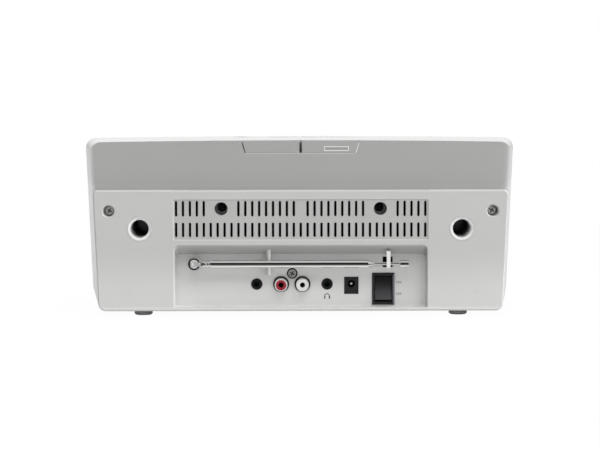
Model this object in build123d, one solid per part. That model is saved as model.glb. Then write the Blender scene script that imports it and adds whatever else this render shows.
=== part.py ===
from build123d import *
import math
import os

# Table radio seen from behind. Millimetres. X is the width, with +X at the left of the rear view,
# -Y is the front with the loudspeakers, +Y is the rear with the sockets, and Z is up.
# The origin is on the table, in the middle of the whole radio.

# Body
BODY_DEPTH = 112.0
DIAL_PROUD = 12.0
REAR_Y = (BODY_DEPTH + DIAL_PROUD) / 2
FRONT_Y = REAR_Y - BODY_DEPTH
COVER_PROUD = 6.0
SEAM_Y = REAR_Y - COVER_PROUD
FOOT_HEIGHT = 3.5
BODY_HEIGHT = 109.95
TOP_Z = FOOT_HEIGHT + BODY_HEIGHT
CROWN = 1.15
FRONT_HALF_TOP = 151.0
SIDE_FLARE = 0.131
SIDE_TAPER = 0.043
WALL = 2.0
CORNER_TOP = 7.0
CORNER_BOTTOM = 5.0
CORNER_REAR = 5.0
FIT_GAP = 0.2
RUN_GAP = 0.08

# Rear cover
COVER_TOP_Z = 82.4
COVER_PLATE = 2.5
COVER_CORNER = 3.5
COVER_EDGE = 1.2
LIP_DEPTH = 6.0
LIP_WALL = 1.8
TAPPING_EDGE = 9.5
TAPPING_X = 51.75
COVER_TAPPING_Z = (68.8, 70.3)
WELL_BORE = (7.0, 8.6)
WELL_BEVEL = 0.8
WELL_DEPTH = (10.0, 20.0)
WELL_WALL = 1.4
SCREW_HEAD = 5.8
SCREW_HEAD_HEIGHT = 2.2
SCREW_SHANK = 3.0
SCREW_LENGTH = 12.0
SCREW_ROUND = 0.4
CROSS_LENGTH = 0.62
CROSS_WIDTH = 0.16
CROSS_DEPTH = 0.55
CROSS_TURN = 30.0
POST_WALL = 2.4
MARK_EDGE = 18.6
MARK_Z = 15.4
MARK_BORE = 3.4
MARK_DEPTH = 0.4

# Vent panel in the cover
VENT_EDGE = 13.7
VENT_LOW_Z = 49.8
VENT_HIGH_Z = 76.4
VENT_RECESS = 0.6
VENT_CORNER = 1.2
SLOT_PITCH = 4.5
SLOT_WIDTH = 1.6
SLOT_MARGIN = 1.2
LOWER_SLOT_Z = (51.8, 61.3)
UPPER_SLOT_Z = (65.3, 75.4)
WELL_MARGIN = 3.2

# Bass ports
PORT_EDGE = 29.1
PORT_Z = 57.3
PORT_BORE = 11.7
PORT_WALL = 1.6
PORT_LIP = 16.2
PORT_LIP_DEPTH = 1.6
PORT_REACH = 6.0
PORT_LIP_ROUND = 0.2
PORT_FLARE = 1.7

# Connector bay in the cover
BAY_HALF = 82.2
BAY_DEPTH = 13.0
BAY_TOP_Z = 46.2
BAY_FLOOR_TOP_Z = 39.7
BAY_LEDGE = 2.2
BAY_LOW_Z = FOOT_HEIGHT + BAY_LEDGE
BAY_CORNER = 3.0
BAY_MOUTH = 0.6
BAY_WALL = 2.0
FLOOR_Y = REAR_Y - BAY_DEPTH
BACK_Y = FLOOR_Y - BAY_WALL

# Sockets, left to right in the rear view
SOCKET_Z = 19.9
AUX_X = 28.9
RCA_RED_X = 12.9
RCA_PITCH = 14.0
PHONES_X = -17.35
MINI_NOSE = 7.4
MINI_BORE = 3.6
MINI_LENGTH = 14.0
MINI_PROUD = 0.8
JACK_DEPTH = 11.0
MINI_BODY = (9.0, 10.0, JACK_DEPTH)
MINI_EDGE = 0.5
RCA_SHELL = 8.3
RCA_SHELL_WALL = 0.7
RCA_SHELL_STEP = 0.5
RCA_SHELL_EDGE = 0.3
RCA_PROUD = 7.6
RCA_RING = 10.4
RCA_RING_PROUD = 0.8
RCA_CENTRE = 3.3
RCA_LEAD_IN = 0.5
RCA_INSERT_SINK = 0.3
RCA_BLOCK_EDGE = 0.6
RCA_BOSS = 2.4
DC_X = -33.3
DC_Z = 18.9
DC_SIZE = (9.3, 11.2)
DC_BORE_Z = 20.1
DC_BORE = 4.8
DC_PIN = 1.65
DC_DEPTH = 10.0
DC_PROUD = 0.5
DC_EDGE = 0.3
DC_PIN_SINK = 0.6
DC_ROOT = 2.0
DC_ROOT_STEP = 0.5
JACK_SCREW_X = 5.6
JACK_SCREW_Z = 26.9
JACK_SCREW_HEAD = 5.4
JACK_SCREW_BORE = 7.2
JACK_SCREW_SINK = 1.2
JACK_SCREW_HEIGHT = 1.4
JACK_SCREW_SHANK = 2.4
JACK_SCREW_LENGTH = 8.0
JACK_WASHER_HEIGHT = 0.5
JACK_BOARD_Z = (8.0, 33.0)
JACK_BOARD_EDGE = 8.0
BOARD = 1.6

# Rocker switch
SWITCH_X = -54.3
SWITCH_Z = 16.75
SWITCH_SIZE = (14.8, 21.0)
SWITCH_PROUD = 2.0
SWITCH_BODY = (12.6, 18.6)
SWITCH_BODY_DEPTH = 13.0
SWITCH_EDGE = 1.2
ROCKER_SIZE = (10.8, 16.4)
ROCKER_ANGLE = 10.0
ROCKER_GAP = 0.35
ROCKER_AXIS_SINK = 4.2
ROCKER_FACE = 3.8
ROCKER_THICK = 6.6
ROCKER_HOLLOW = 1.1
ROCKER_DRAFT = 0.4
ROCKER_KEEL = 2.6
ROCKER_EDGE = 0.8
ROCKER_PIN = 2.4
ROCKER_PIN_REACH = 0.7
ROCKER_CLEAR = 1.0

# Telescopic antenna
ANTENNA_X = 69.5
ANTENNA_Z = 34.1
ANTENNA_SINK = 3.0
ANTENNA_Y = REAR_Y - ANTENNA_SINK
SECTION_OD = 5.2
SECTION_STEP = 0.8
SECTION_WALL = 0.3
SECTION_COUNT = 4
SECTION_STAGGER = 1.4
SECTION_SETBACK = 1.5
SECTION_TAPER = 0.2
SECTION_PLUG = 2.0
SECTION_START_X = 58.8
SECTION_END_X = -44.0
ANTENNA_TIP_X = (-64.3, -70.8)
TIP_OD = 4.8
TIP_ROUND = 0.5
ROD_OD = 2.0
TURRET_OD = 7.8
TURRET_SHANK = 5.2
TURRET_SLOT = 2.2
TURRET_HEAD_GAP = 0.3
TURRET_TOP = 1.4
TURRET_EDGE = 0.5
TURRET_SLOT_ROOM = 0.4
TONGUE = 1.9
TONGUE_HEIGHT = 4.6
NECK_OD = 3.4
NECK_BEADS = ((2.9, 5.0), (5.3, 4.6))
BEAD_LENGTH = 2.2
BEAD_ROUND = 0.7
PIVOT_PIN = 1.5
NUT_OD = 9.0
NUT_HEIGHT = 2.0
CRADLE_X = 21.1
CRADLE_WIDTH = 2.9
CRADLE_Z = (26.6, 43.6)
CRADLE_GAP = 0.3
CRADLE_PRONG = 0.9
CRADLE_RIDGE = 1.0
HOOK_X = -57.2
HOOK_WIDTH = 2.4
HOOK_LOW_Z = 31.6
HOOK_ROOT_Z = (39.0, 42.6)
HOOK_THICK = 1.3
HOOK_ROUND = 1.2
WINDOW_HALF = 3.3
WINDOW_Z = (30.8, 37.9)

# Hinged port doors at the top of the upper rear face
DOOR_HALF_TOP = 38.1
DOOR_HALF_LOW = 36.1
DOOR_HEIGHT = 7.25
DOOR_LOW_Z = TOP_Z - DOOR_HEIGHT
DOOR_THICK = 1.6
DOOR_GAP = 0.35
DOOR_BEVEL = 0.4
DOOR_GROOVE = 5.0
DOOR_SPLIT = 0.55
DOOR_SINK = 2.1
DOOR_BARREL = 1.35
DOOR_PIN = 1.2
DOOR_PIN_HEIGHT = 4.6
DOOR_BLOCK_DEPTH = 9.0
DOOR_BLOCK_MARGIN = 2.6
GRIP_X = (15.2, 31.4)
GRIP_RISE = (1.4, 4.4)
GRIP_DEPTH = 0.8
GRIP_CORNER = 0.8
USB_SIZE = (13.1, 5.5)
USB_X = -20.0
USB_RISE = 3.2
USB_DEPTH = 14.0
USB_SKIN = 0.35
USB_BACK = 1.5
USB_TONGUE = (0.8, 0.3)
USB_TONGUE_RISE = 0.19
USB_TONGUE_SINK = 1.2
SERVICE_SIZE = (9.0, 4.6)
SERVICE_X = 20.0
SERVICE_DEPTH = 9.0

# Feet
FOOT_OD = 12.0
FOOT_SIDE_INSET = 28.1
FOOT_INSET = 14.0
FOOT_SINK = 0.8
FOOT_EDGE = 0.8

# Front
BAFFLE_SINK = 10.0
BAFFLE = 4.0
BAFFLE_Y = FRONT_Y + BAFFLE_SINK
BAFFLE_BACK_Y = BAFFLE_Y + BAFFLE
PANEL = 2.5
PANEL_BACK_Y = FRONT_Y + PANEL
GRILLE_SINK = 0.5
GRILLE = 2.0
GRILLE_PITCH = 4.0
GRILLE_SLOT = 2.0
GRILLE_ROWS = 3
GRILLE_MARGIN = 7.0
GRILLE_BRIDGE = 3.0
SPEAKER_MARGIN = (6.0, 12.6)
SPEAKER_Z = 58.0
FLANGE_OD = 76.0
FLANGE = 2.0
BASKET_OD = 66.0
BASKET_WALL = 1.5
BASKET_BACK_OD = 40.0
BASKET_DEPTH = 24.0
BASKET_WINDOW = (5.0, 3.5)
MAGNET_OD = 45.0
MAGNET_DEPTH = 13.0
GAP_OUTER = 22.4
GAP_INNER = 18.8
POLE_PROUD = 2.0
MAGNET_FLOOR = 3.0
COIL_OD = 21.0
COIL_WALL = 0.5
COIL_DEPTH = 8.0
CONE_OD = 56.4
CONE_DEPTH = 15.0
CONE_WALL = 0.6
CAP_RISE = 7.0
CAP_CURVE = ((0, 0), (0.45, 0.7), (0.8, 2.2), (1, 4.4))
CONE_LIP = 1.6
ROLL_OD = 64.0
ROLL_HEIGHT = 2.4
ROLL_SHOULDER = 0.8
SURROUND = 0.6
BOX_HALF = 34.0
BOX_ROOM = (5.5, 12.4)
BOX_DEPTH = 50.0
BOX_WALL = 2.5
BOX_CORNER = 6.0

# Display, dial and keys
WINDOW_EDGE = (10.0, 10.45)
WINDOW_RISE = 12.0
LENS = 2.0
LENS_STEP = 1.0
WINDOW_CORNER = 3.0
DISPLAY_EDGE = (4.0, 3.0)
DISPLAY_DEPTH = 5.4
DIAL_Z = 33.0
DIAL_OD = 40.0
DIAL_GAP = 1.0
DIAL_SHELL = 2.4
DIAL_GRIPS = 36
DIAL_GRIP_BORE = 1.6
DIAL_EDGE = 1.5
DIAL_DISH = 1.0
DIAL_DISH_SHARE = 0.72
DIAL_RIM_SLOPE = 1.0
DIAL_GRIP_OUT = 0.3
DIAL_HUB = 18.0
DIAL_HUB_SINK = 0.4
DIAL_HUB_ROOM = (10.0, 2.6)
DIAL_SHAFT = 6.0
DIAL_TRAVEL = 0.6
ENCODER_SIZE = 13.0
ENCODER_DEPTH = 4.4
ENCODER_FLOOR = 1.2
ENCODER_SEAT = 7.4
ROTOR_OD = 9.0
ROTOR_LENGTH = 6.0
KEY_EDGE = 18.0
KEY_Z = (46.0, 20.0)
KEY_SIZE = (17.0, 8.0)
KEY_PROUD = 1.0
KEY_GAP = 0.25
KEY_TRAVEL = 0.8
KEY_FLANGE = 1.2
KEY_FLANGE_EDGE = 1.2
KEY_STEM = 3.0
KEY_PLAY = 0.1
KEY_ROUND = 0.6
TACT_SIZE = 6.0
TACT_HEIGHT = 3.5
TACT_OVERLAP = 0.5
TACT_SINK = TACT_OVERLAP + KEY_TRAVEL + FIT_GAP
TACT_PLAY = 0.4
SNOOZE_SIZE = (60.0, 11.0)
SNOOZE_X = -8.0
POWER_OD = 11.0
POWER_X = 40.0
TOP_KEY_BEHIND = 12.0
TOP_KEY_PROUD = 0.2
TOP_KEY_PLAY = 0.35
TOP_KEY_ROUND = 0.5
TOP_BOARD_DROP = 12.0
TOP_BOARD_X = (-46.0, 56.0)
TOP_BOARD_HALF_DEPTH = 8.0
TOP_POST = 5.0

# Boards inside
MAIN_ROOM = 14.0
MAIN_ROOM_Y = (16.0, 4.4)
MAIN_Z = 14.0
MAIN_POST_OD = 6.0
MAIN_POST_INSET = 5.0
MODULE_SIZE = (36.0, 28.0, 5.0)
MODULE_X = -22.0
MODULE_CORNER = 1.0


def side_x(y, z):
    """Half width of the outside at a depth and a height: it flares forwards and tapers downwards."""
    return FRONT_HALF_TOP - SIDE_FLARE * (y - FRONT_Y) - SIDE_TAPER * (TOP_Z - z)


def span(x, y, z):
    """Box from three (low, high) pairs."""
    centre = ((x[0] + x[1]) / 2, (y[0] + y[1]) / 2, (z[0] + z[1]) / 2)
    return Pos(*centre) * Box(abs(x[1] - x[0]), abs(y[1] - y[0]), abs(z[1] - z[0]))


def both(value):
    """The pair (-value, value)."""
    return (-value, value)


def prism_y(sketch, y_low, y_high):
    """A sketch in X and Z pushed from one depth to another."""
    return extrude(Plane.XZ.offset(-y_high) * sketch, amount=y_high - y_low)


def block_y(x, z, size, y_low, y_high):
    """Rectangular bar along Y, from its (width, height)."""
    return prism_y(Pos(x, z) * Rectangle(*size), y_low, y_high)


def bar_y(x, z, y_low, y_high, diameter):
    """Round bar along Y."""
    return prism_y(Pos(x, z) * Circle(diameter / 2), y_low, y_high)


def bar_x(x_low, x_high, y, z, diameter):
    """Round bar along X."""
    return Pos((x_low + x_high) / 2, y, z) * Rot(0, 90, 0) * Cylinder(diameter / 2, abs(x_high - x_low))


def bar_z(x, y, z_low, z_high, diameter):
    """Round bar along Z."""
    return Pos(x, y, (z_low + z_high) / 2) * Cylinder(diameter / 2, z_high - z_low)


def turned_y(x, z, points):
    """Solid of revolution about a line along Y, from (radius, y) points."""
    outline = make_face(Polyline(*[(r, y, 0) for r, y in points], close=True))
    return Pos(x, 0, z) * revolve(outline, Axis.Y)


def outline_at(y, z_low, z_high, inset, corner_low, corner_high, crown):
    """Rounded outline of the body in X and Z at one depth."""
    low_x = side_x(y, z_low) - inset
    high_x = side_x(y, z_high) - inset
    lines = Polyline((-high_x, z_high), (-low_x, z_low), (low_x, z_low), (high_x, z_high))
    if crown > 0:
        top = ThreePointArc((high_x, z_high), (0, z_high + crown), (-high_x, z_high))
    else:
        top = Line((high_x, z_high), (-high_x, z_high))
    face = make_face(lines + top)
    corners = face.vertices().sort_by(Axis.Y)
    face = fillet(corners[:2], corner_low)
    corners = face.vertices().sort_by(Axis.Y)
    return fillet(corners[-2:], corner_high)


def body_block(y_low, y_high, z_low, z_high, inset, corner_low, corner_high, crown=0):
    """Length of the flared body between two depths."""
    ends = [
        Plane.XZ.offset(-y) * outline_at(y, z_low, z_high, inset, corner_low, corner_high, crown)
        for y in (y_low, y_high)
    ]
    return loft(ends, ruled=True)


def rear_corner_cutter(side):
    """What leaves the upright rear corner round, above the rear cover."""
    ends = []
    for z in (COVER_TOP_Z, TOP_Z + 2 * CORNER_TOP):
        corner = Vector(side_x(SEAM_Y, z), SEAM_Y)
        along_side = Vector(SIDE_FLARE, -1).normalized()
        along_rear = Vector(-1, 0)
        opening = math.radians(along_side.get_angle(along_rear))
        reach = CORNER_REAR / math.tan(opening / 2)
        on_rear = corner + along_rear * reach
        on_side = corner + along_side * reach
        centre = on_rear - Vector(0, CORNER_REAR)
        middle = centre + (corner - centre).normalized() * CORNER_REAR
        arc = ThreePointArc(on_rear, middle, on_side)
        beside = Vector(CORNER_REAR, 0)
        behind = Vector(0, CORNER_REAR)
        rest = Polyline(on_side, on_side + beside, corner + beside + behind, on_rear + behind, on_rear)
        ends.append(Plane.XY.offset(z) * make_face(arc + rest))
    cutter = loft(ends, ruled=True)
    return cutter if side > 0 else mirror(cutter, Plane.YZ)


def door_outline(side, gap, top_z):
    """Outline in X and Z of one port door or, with no gap or a negative one, of half the recess."""
    slope = (DOOR_HALF_TOP - DOOR_HALF_LOW) / (TOP_Z - DOOR_LOW_Z)
    low_z = DOOR_LOW_Z + gap
    inner = DOOR_SPLIT if gap > 0 else 0
    low_x = DOOR_HALF_LOW - gap + slope * gap
    high_x = low_x + slope * (top_z - low_z)
    points = [(inner, low_z), (low_x, low_z), (high_x, top_z), (inner, top_z)]
    return make_face(Polyline(*[(side * x, z) for x, z in points], close=True))


def turned_x(points):
    """Solid of revolution about the antenna's own line, from (x, radius) points."""
    outline = make_face(Polyline(*[(x, r, 0) for x, r in points], close=True))
    return Pos(0, ANTENNA_Y, ANTENNA_Z) * revolve(outline, Axis.X)


def screw(x, z, head_y, head_od, head_height, shank_od, length):
    """Pan head screw along Y, with its head's face towards the rear and a cross recess in it."""
    seat_y = head_y - head_height
    head = bar_y(x, z, seat_y, head_y, head_od)
    rim = head.faces().sort_by(Axis.Y)[-1].edges()
    head = fillet(rim, head_height * SCREW_ROUND)
    arm = (head_od * CROSS_LENGTH, head_od * CROSS_WIDTH)
    cross = Rectangle(*arm) + Rectangle(*arm, rotation=90)
    place = Pos(x, z) * Rot(0, 0, CROSS_TURN)
    head -= prism_y(place * cross, head_y - head_height * CROSS_DEPTH, head_y + 1)
    return head + bar_y(x, z, seat_y - length, seat_y, shank_od)


door_hinge_x = DOOR_SPLIT + DOOR_BARREL
door_face_y = SEAM_Y
door_hinge_y = door_face_y - DOOR_BARREL
top_surface_z = TOP_Z + CROWN
top_key_z = top_surface_z + TOP_KEY_PROUD
top_key_y = BAFFLE_BACK_Y + TOP_KEY_BEHIND
top_board_z = top_surface_z - TOP_BOARD_DROP
shank_bore = SCREW_SHANK + 2 * FIT_GAP
jack_block_y = BACK_Y - JACK_DEPTH
rocker_axis_y = FLOOR_Y + SWITCH_PROUD - ROCKER_AXIS_SINK
rocker_room = ROCKER_AXIS_SINK + ROCKER_THICK - ROCKER_FACE + ROCKER_CLEAR
front_board_y = BAFFLE_Y - BOARD
panel_inset = WALL + FIT_GAP
panel_low_z = FOOT_HEIGHT + panel_inset
panel_high_z = TOP_Z - panel_inset
rotor_base_y = front_board_y - ENCODER_FLOOR - 2 * RUN_GAP
dial_back_y = FRONT_Y - DIAL_GAP
flange_y = BAFFLE_Y - FLANGE
basket_back_y = BAFFLE_Y + BASKET_DEPTH
cone_lip_y = flange_y - SURROUND / 2
well_head_y = [REAR_Y - depth + SCREW_HEAD_HEIGHT for depth in WELL_DEPTH]
tapping_x = (side_x(REAR_Y, COVER_TAPPING_Z[0]) - TAPPING_EDGE, TAPPING_X)
tap_centres = [(side * tapping_x[i], COVER_TAPPING_Z[i], i) for i in (0, 1) for side in (-1, 1)]
port_x = side_x(REAR_Y, PORT_Z) - PORT_EDGE
mark_x = side_x(REAR_Y, MARK_Z) - MARK_EDGE
foot_x = side_x(REAR_Y, FOOT_HEIGHT) - FOOT_SIDE_INSET
vent_half = port_x - PORT_LIP / 2 - VENT_EDGE
speaker_x = side_x(FRONT_Y, SPEAKER_Z) - SPEAKER_MARGIN[1] - FLANGE_OD / 2
panel_half = speaker_x - FLANGE_OD / 2 - SPEAKER_MARGIN[0]
box_low_z = FOOT_HEIGHT + BOX_ROOM[0]
box_high_z = TOP_Z - BOX_ROOM[1]
window_low_z = DIAL_Z + DIAL_OD / 2 + WINDOW_RISE
window_high_z = TOP_Z - WINDOW_EDGE[1]
window_z = (window_low_z + window_high_z) / 2
window_size = (2 * (panel_half - WINDOW_EDGE[0]), window_high_z - window_low_z)
key_x = panel_half - KEY_EDGE
main_half = speaker_x - BOX_HALF - MAIN_ROOM
main_y = (BAFFLE_BACK_Y + MAIN_ROOM_Y[0], jack_block_y - BOARD - MAIN_ROOM_Y[1])
usb_z = DOOR_LOW_Z + USB_RISE


def make_cabinet():
    """White outer shell: top, sides, bottom and upper rear wall, open at the front and lower rear."""
    shell = body_block(FRONT_Y, SEAM_Y, FOOT_HEIGHT, TOP_Z, 0, CORNER_BOTTOM, CORNER_TOP, CROWN)
    for side in (-1, 1):
        shell -= rear_corner_cutter(side)
    shell -= body_block(
        FRONT_Y - 1, SEAM_Y - WALL, FOOT_HEIGHT + WALL, TOP_Z - WALL, WALL,
        CORNER_BOTTOM - WALL, CORNER_TOP - WALL, CROWN
    )
    shell -= body_block(
        SEAM_Y - WALL - 1, SEAM_Y + 1, FOOT_HEIGHT + WALL, COVER_TOP_Z - WALL, WALL,
        CORNER_BOTTOM - WALL, COVER_CORNER - WALL
    )
    notch_half = BAY_HALF + BAY_WALL + FIT_GAP
    shell -= span(both(notch_half), (BACK_Y - FIT_GAP, SEAM_Y + 1), (0, FOOT_HEIGHT + WALL + 1))
    # thick block behind the port doors, with their recess, hinge pins and socket openings
    block = span(
        both(DOOR_HALF_TOP + DOOR_BLOCK_MARGIN),
        (SEAM_Y - DOOR_BLOCK_DEPTH, SEAM_Y - WALL / 2),
        (DOOR_LOW_Z - WALL, top_surface_z - WALL / 2),
    )
    shell += block
    for side in (-1, 1):
        shell -= prism_y(door_outline(side, 0, top_surface_z + 1), SEAM_Y - DOOR_SINK, SEAM_Y + 1)
        shell -= loft(
            [
                Plane.XZ.offset(DOOR_BEVEL - SEAM_Y) * door_outline(side, 0, top_surface_z + 1),
                Plane.XZ.offset(-SEAM_Y) * door_outline(side, -DOOR_BEVEL, top_surface_z + 1),
            ],
            ruled=True,
        )
        barrel_room = DOOR_BARREL + FIT_GAP
        shell -= bar_z(side * door_hinge_x, door_hinge_y, DOOR_LOW_Z, top_surface_z + 1, 2 * barrel_room)
        shell += bar_z(
            side * door_hinge_x, door_hinge_y, DOOR_LOW_Z - WALL / 2, DOOR_LOW_Z + DOOR_PIN_HEIGHT, DOOR_PIN
        )
    groove_y = (SEAM_Y - DOOR_GROOVE, SEAM_Y)
    shell -= span(both(DOOR_SPLIT), groove_y, (DOOR_LOW_Z, top_surface_z + 1))
    for x, size in ((USB_X, USB_SIZE), (SERVICE_X, SERVICE_SIZE)):
        opening = (size[0] + FIT_GAP, size[1] + FIT_GAP)
        shell -= block_y(x, usb_z, opening, SEAM_Y - DOOR_BLOCK_DEPTH - 1, SEAM_Y)
    # openings and posts for the keys on top
    snooze = SlotOverall(SNOOZE_SIZE[0] + 2 * KEY_GAP, SNOOZE_SIZE[1] + 2 * KEY_GAP)
    power = Circle(POWER_OD / 2 + KEY_GAP)
    for x, shape in ((SNOOZE_X, snooze), (POWER_X, power)):
        shell -= Pos(x, top_key_y, top_surface_z - 2 * WALL) * extrude(shape, amount=4 * WALL)
    for x in TOP_BOARD_X:
        inset_x = x - math.copysign(TOP_POST / 2, x)
        shell += bar_z(inset_x, top_key_y, top_board_z + BOARD, top_surface_z - WALL / 2, TOP_POST)
    # posts under the main board
    for x in both(main_half - MAIN_POST_INSET):
        for y in (main_y[0] + MAIN_POST_INSET, main_y[1] - MAIN_POST_INSET):
            shell += bar_z(x, y, FOOT_HEIGHT + WALL / 2, MAIN_Z, MAIN_POST_OD)
    # posts that the cover's screws hold on to
    for x, z, i in tap_centres:
        post_od = SCREW_SHANK + 2 * POST_WALL
        front_y = REAR_Y - WELL_DEPTH[i] - WALL - SCREW_LENGTH
        back_y = REAR_Y - WELL_DEPTH[i] - WALL - FIT_GAP
        side = math.copysign(1, x)
        if i == 0:
            wall_x = side_x(front_y, z) - WALL / 2
            rib = span((x, side * wall_x), (front_y, back_y), (z - WALL / 2, z + WALL / 2))
            rib = rib & body_block(
                FRONT_Y, SEAM_Y, FOOT_HEIGHT, TOP_Z, WALL / 2, CORNER_BOTTOM, CORNER_TOP, CROWN
            )
        else:
            rib = span((x - WALL / 2, x + WALL / 2), (front_y, back_y), (z, top_surface_z - WALL / 2))
        shell += bar_y(x, z, front_y, back_y, post_od) + rib
        shell -= bar_y(x, z, front_y - 1, back_y + 1, SCREW_SHANK + 2 * RUN_GAP)
    # shallow seats for the feet
    for x, y in foot_places():
        shell -= bar_z(x, y, FOOT_HEIGHT - 1, FOOT_HEIGHT + FOOT_SINK, FOOT_OD + FIT_GAP)
    return shell


def foot_places():
    """Centres of the four feet."""
    rear = REAR_Y - FOOT_INSET
    front = FRONT_Y + FOOT_INSET
    return [(x, y) for x in both(foot_x) for y in (rear, front)]


def bay_outline(half, low_z, top_z, corner):
    """Outline in X and Z of the bay, round at the top."""
    face = make_face(Polyline((-half, low_z), (half, low_z), (half, top_z), (-half, top_z), close=True))
    return fillet(face.vertices().sort_by(Axis.Y)[-2:], corner)


def bay_mouth():
    """Bevel round the top and sides of the bay's edge."""
    share = 1 - BAY_MOUTH / BAY_DEPTH
    inner_top = BAY_FLOOR_TOP_Z + (BAY_TOP_Z - BAY_FLOOR_TOP_Z) * share
    inner = bay_outline(BAY_HALF, BAY_LOW_Z, inner_top, BAY_CORNER)
    outer = bay_outline(BAY_HALF + BAY_MOUTH, BAY_LOW_Z, BAY_TOP_Z + BAY_MOUTH, BAY_CORNER + BAY_MOUTH)
    return loft(
        [Plane.XZ.offset(BAY_MOUTH - REAR_Y) * inner, Plane.XZ.offset(-REAR_Y) * outer], ruled=True
    )


def bay_room(outset, low_z, y_back):
    """Space of the connector bay, or with an outset the outside of its walls."""
    ends = []
    y_out = REAR_Y + (1 if outset == 0 else 0)
    for y in (y_back, y_out):
        share = (y - FLOOR_Y) / BAY_DEPTH
        top = BAY_FLOOR_TOP_Z + (BAY_TOP_Z - BAY_FLOOR_TOP_Z) * share + outset
        half = BAY_HALF + outset
        ends.append(Plane.XZ.offset(-y) * bay_outline(half, low_z, top, BAY_CORNER + outset))
    return loft(ends, ruled=True)


def make_rear_cover():
    """Light grey cap over the lower rear, with the vents, screw wells and connector bay."""
    cap = body_block(
        SEAM_Y, REAR_Y, FOOT_HEIGHT, COVER_TOP_Z, 0, CORNER_BOTTOM, COVER_CORNER
    )
    rim = cap.faces().sort_by(Axis.Y)[-1].edges()
    cap = fillet(rim, COVER_EDGE)
    cap -= body_block(
        SEAM_Y - 1, REAR_Y - COVER_PLATE, FOOT_HEIGHT + WALL, COVER_TOP_Z - WALL, WALL,
        CORNER_BOTTOM - WALL, COVER_CORNER - WALL
    )
    lip_inset = WALL + FIT_GAP
    lip = body_block(
        SEAM_Y - LIP_DEPTH, SEAM_Y + 1, FOOT_HEIGHT + lip_inset, COVER_TOP_Z - lip_inset, lip_inset,
        CORNER_BOTTOM - WALL, COVER_CORNER - WALL
    )
    hollow_inset = lip_inset + LIP_WALL
    lip_corner = COVER_CORNER - WALL
    lip -= body_block(
        SEAM_Y - LIP_DEPTH - 1, SEAM_Y + 2, FOOT_HEIGHT + hollow_inset, COVER_TOP_Z - hollow_inset,
        hollow_inset, lip_corner, lip_corner
    )
    cap += lip
    # bay walls and floor, then the space inside them
    cap += bay_room(BAY_WALL, FOOT_HEIGHT, BACK_Y) & span(
        both(BAY_HALF + BAY_WALL), (BACK_Y, REAR_Y - COVER_PLATE / 2), (FOOT_HEIGHT, TOP_Z)
    )
    cap -= bay_room(0, BAY_LOW_Z, FLOOR_Y)
    cap -= bay_mouth()
    # vent recess with sloping edges, and its slots
    vent_place = Pos(0, (VENT_LOW_Z + VENT_HIGH_Z) / 2)
    vent_size = (2 * vent_half, VENT_HIGH_Z - VENT_LOW_Z)
    recess = [
        Plane.XZ.offset(rise - REAR_Y) * vent_place
        * RectangleRounded(vent_size[0] - 2 * rise, vent_size[1] - 2 * rise, VENT_CORNER - rise)
        for rise in (VENT_RECESS, 0)
    ]
    cap -= loft(recess, ruled=True)
    outermost = int((vent_half - SLOT_MARGIN) // SLOT_PITCH)
    slots = []
    for index in range(-outermost, outermost + 1):
        x = index * SLOT_PITCH
        slots.append((x, LOWER_SLOT_Z))
        by_well = abs(abs(x) - TAPPING_X) < WELL_BORE[1] / 2 + WELL_MARGIN
        if not by_well and index != 0:
            slots.append((x, UPPER_SLOT_Z))
    cutters = [
        Pos(x, (z[0] + z[1]) / 2) * SlotOverall(z[1] - z[0], SLOT_WIDTH, rotation=90) for x, z in slots
    ]
    cap -= prism_y(Sketch() + cutters, REAR_Y - 2 * COVER_PLATE, REAR_Y + 1)
    # wells for the four cover screws
    for x, z, i in tap_centres:
        floor_y = REAR_Y - WELL_DEPTH[i]
        cap += bar_y(x, z, floor_y - WALL, REAR_Y - COVER_PLATE / 2, WELL_BORE[i] + 2 * WELL_WALL)
        cap -= bar_y(x, z, floor_y, REAR_Y + 1, WELL_BORE[i])
        cap -= bar_y(x, z, floor_y - WALL - 1, floor_y + 1, shank_bore)
    bevel_y = REAR_Y - WELL_BEVEL
    bore = WELL_BORE[0] / 2
    for x, z, i in tap_centres:
        if i == 0:
            cap -= turned_y(x, z, [(0, bevel_y), (bore, bevel_y), (bore + WELL_BEVEL, REAR_Y), (0, REAR_Y)])
    # holes for the bass ports and the small round marks below them
    for x in both(port_x):
        cap -= bar_y(x, PORT_Z, SEAM_Y, REAR_Y + 1, PORT_BORE + 2 * PORT_WALL + FIT_GAP)
        cap -= bar_y(x, PORT_Z, REAR_Y - PORT_LIP_DEPTH, REAR_Y + 1, PORT_LIP + FIT_GAP)
    for x in both(mark_x):
        cap -= bar_y(x, MARK_Z, REAR_Y - MARK_DEPTH, REAR_Y + 1, MARK_BORE)
    return cut_bay_floor(cap)


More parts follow.
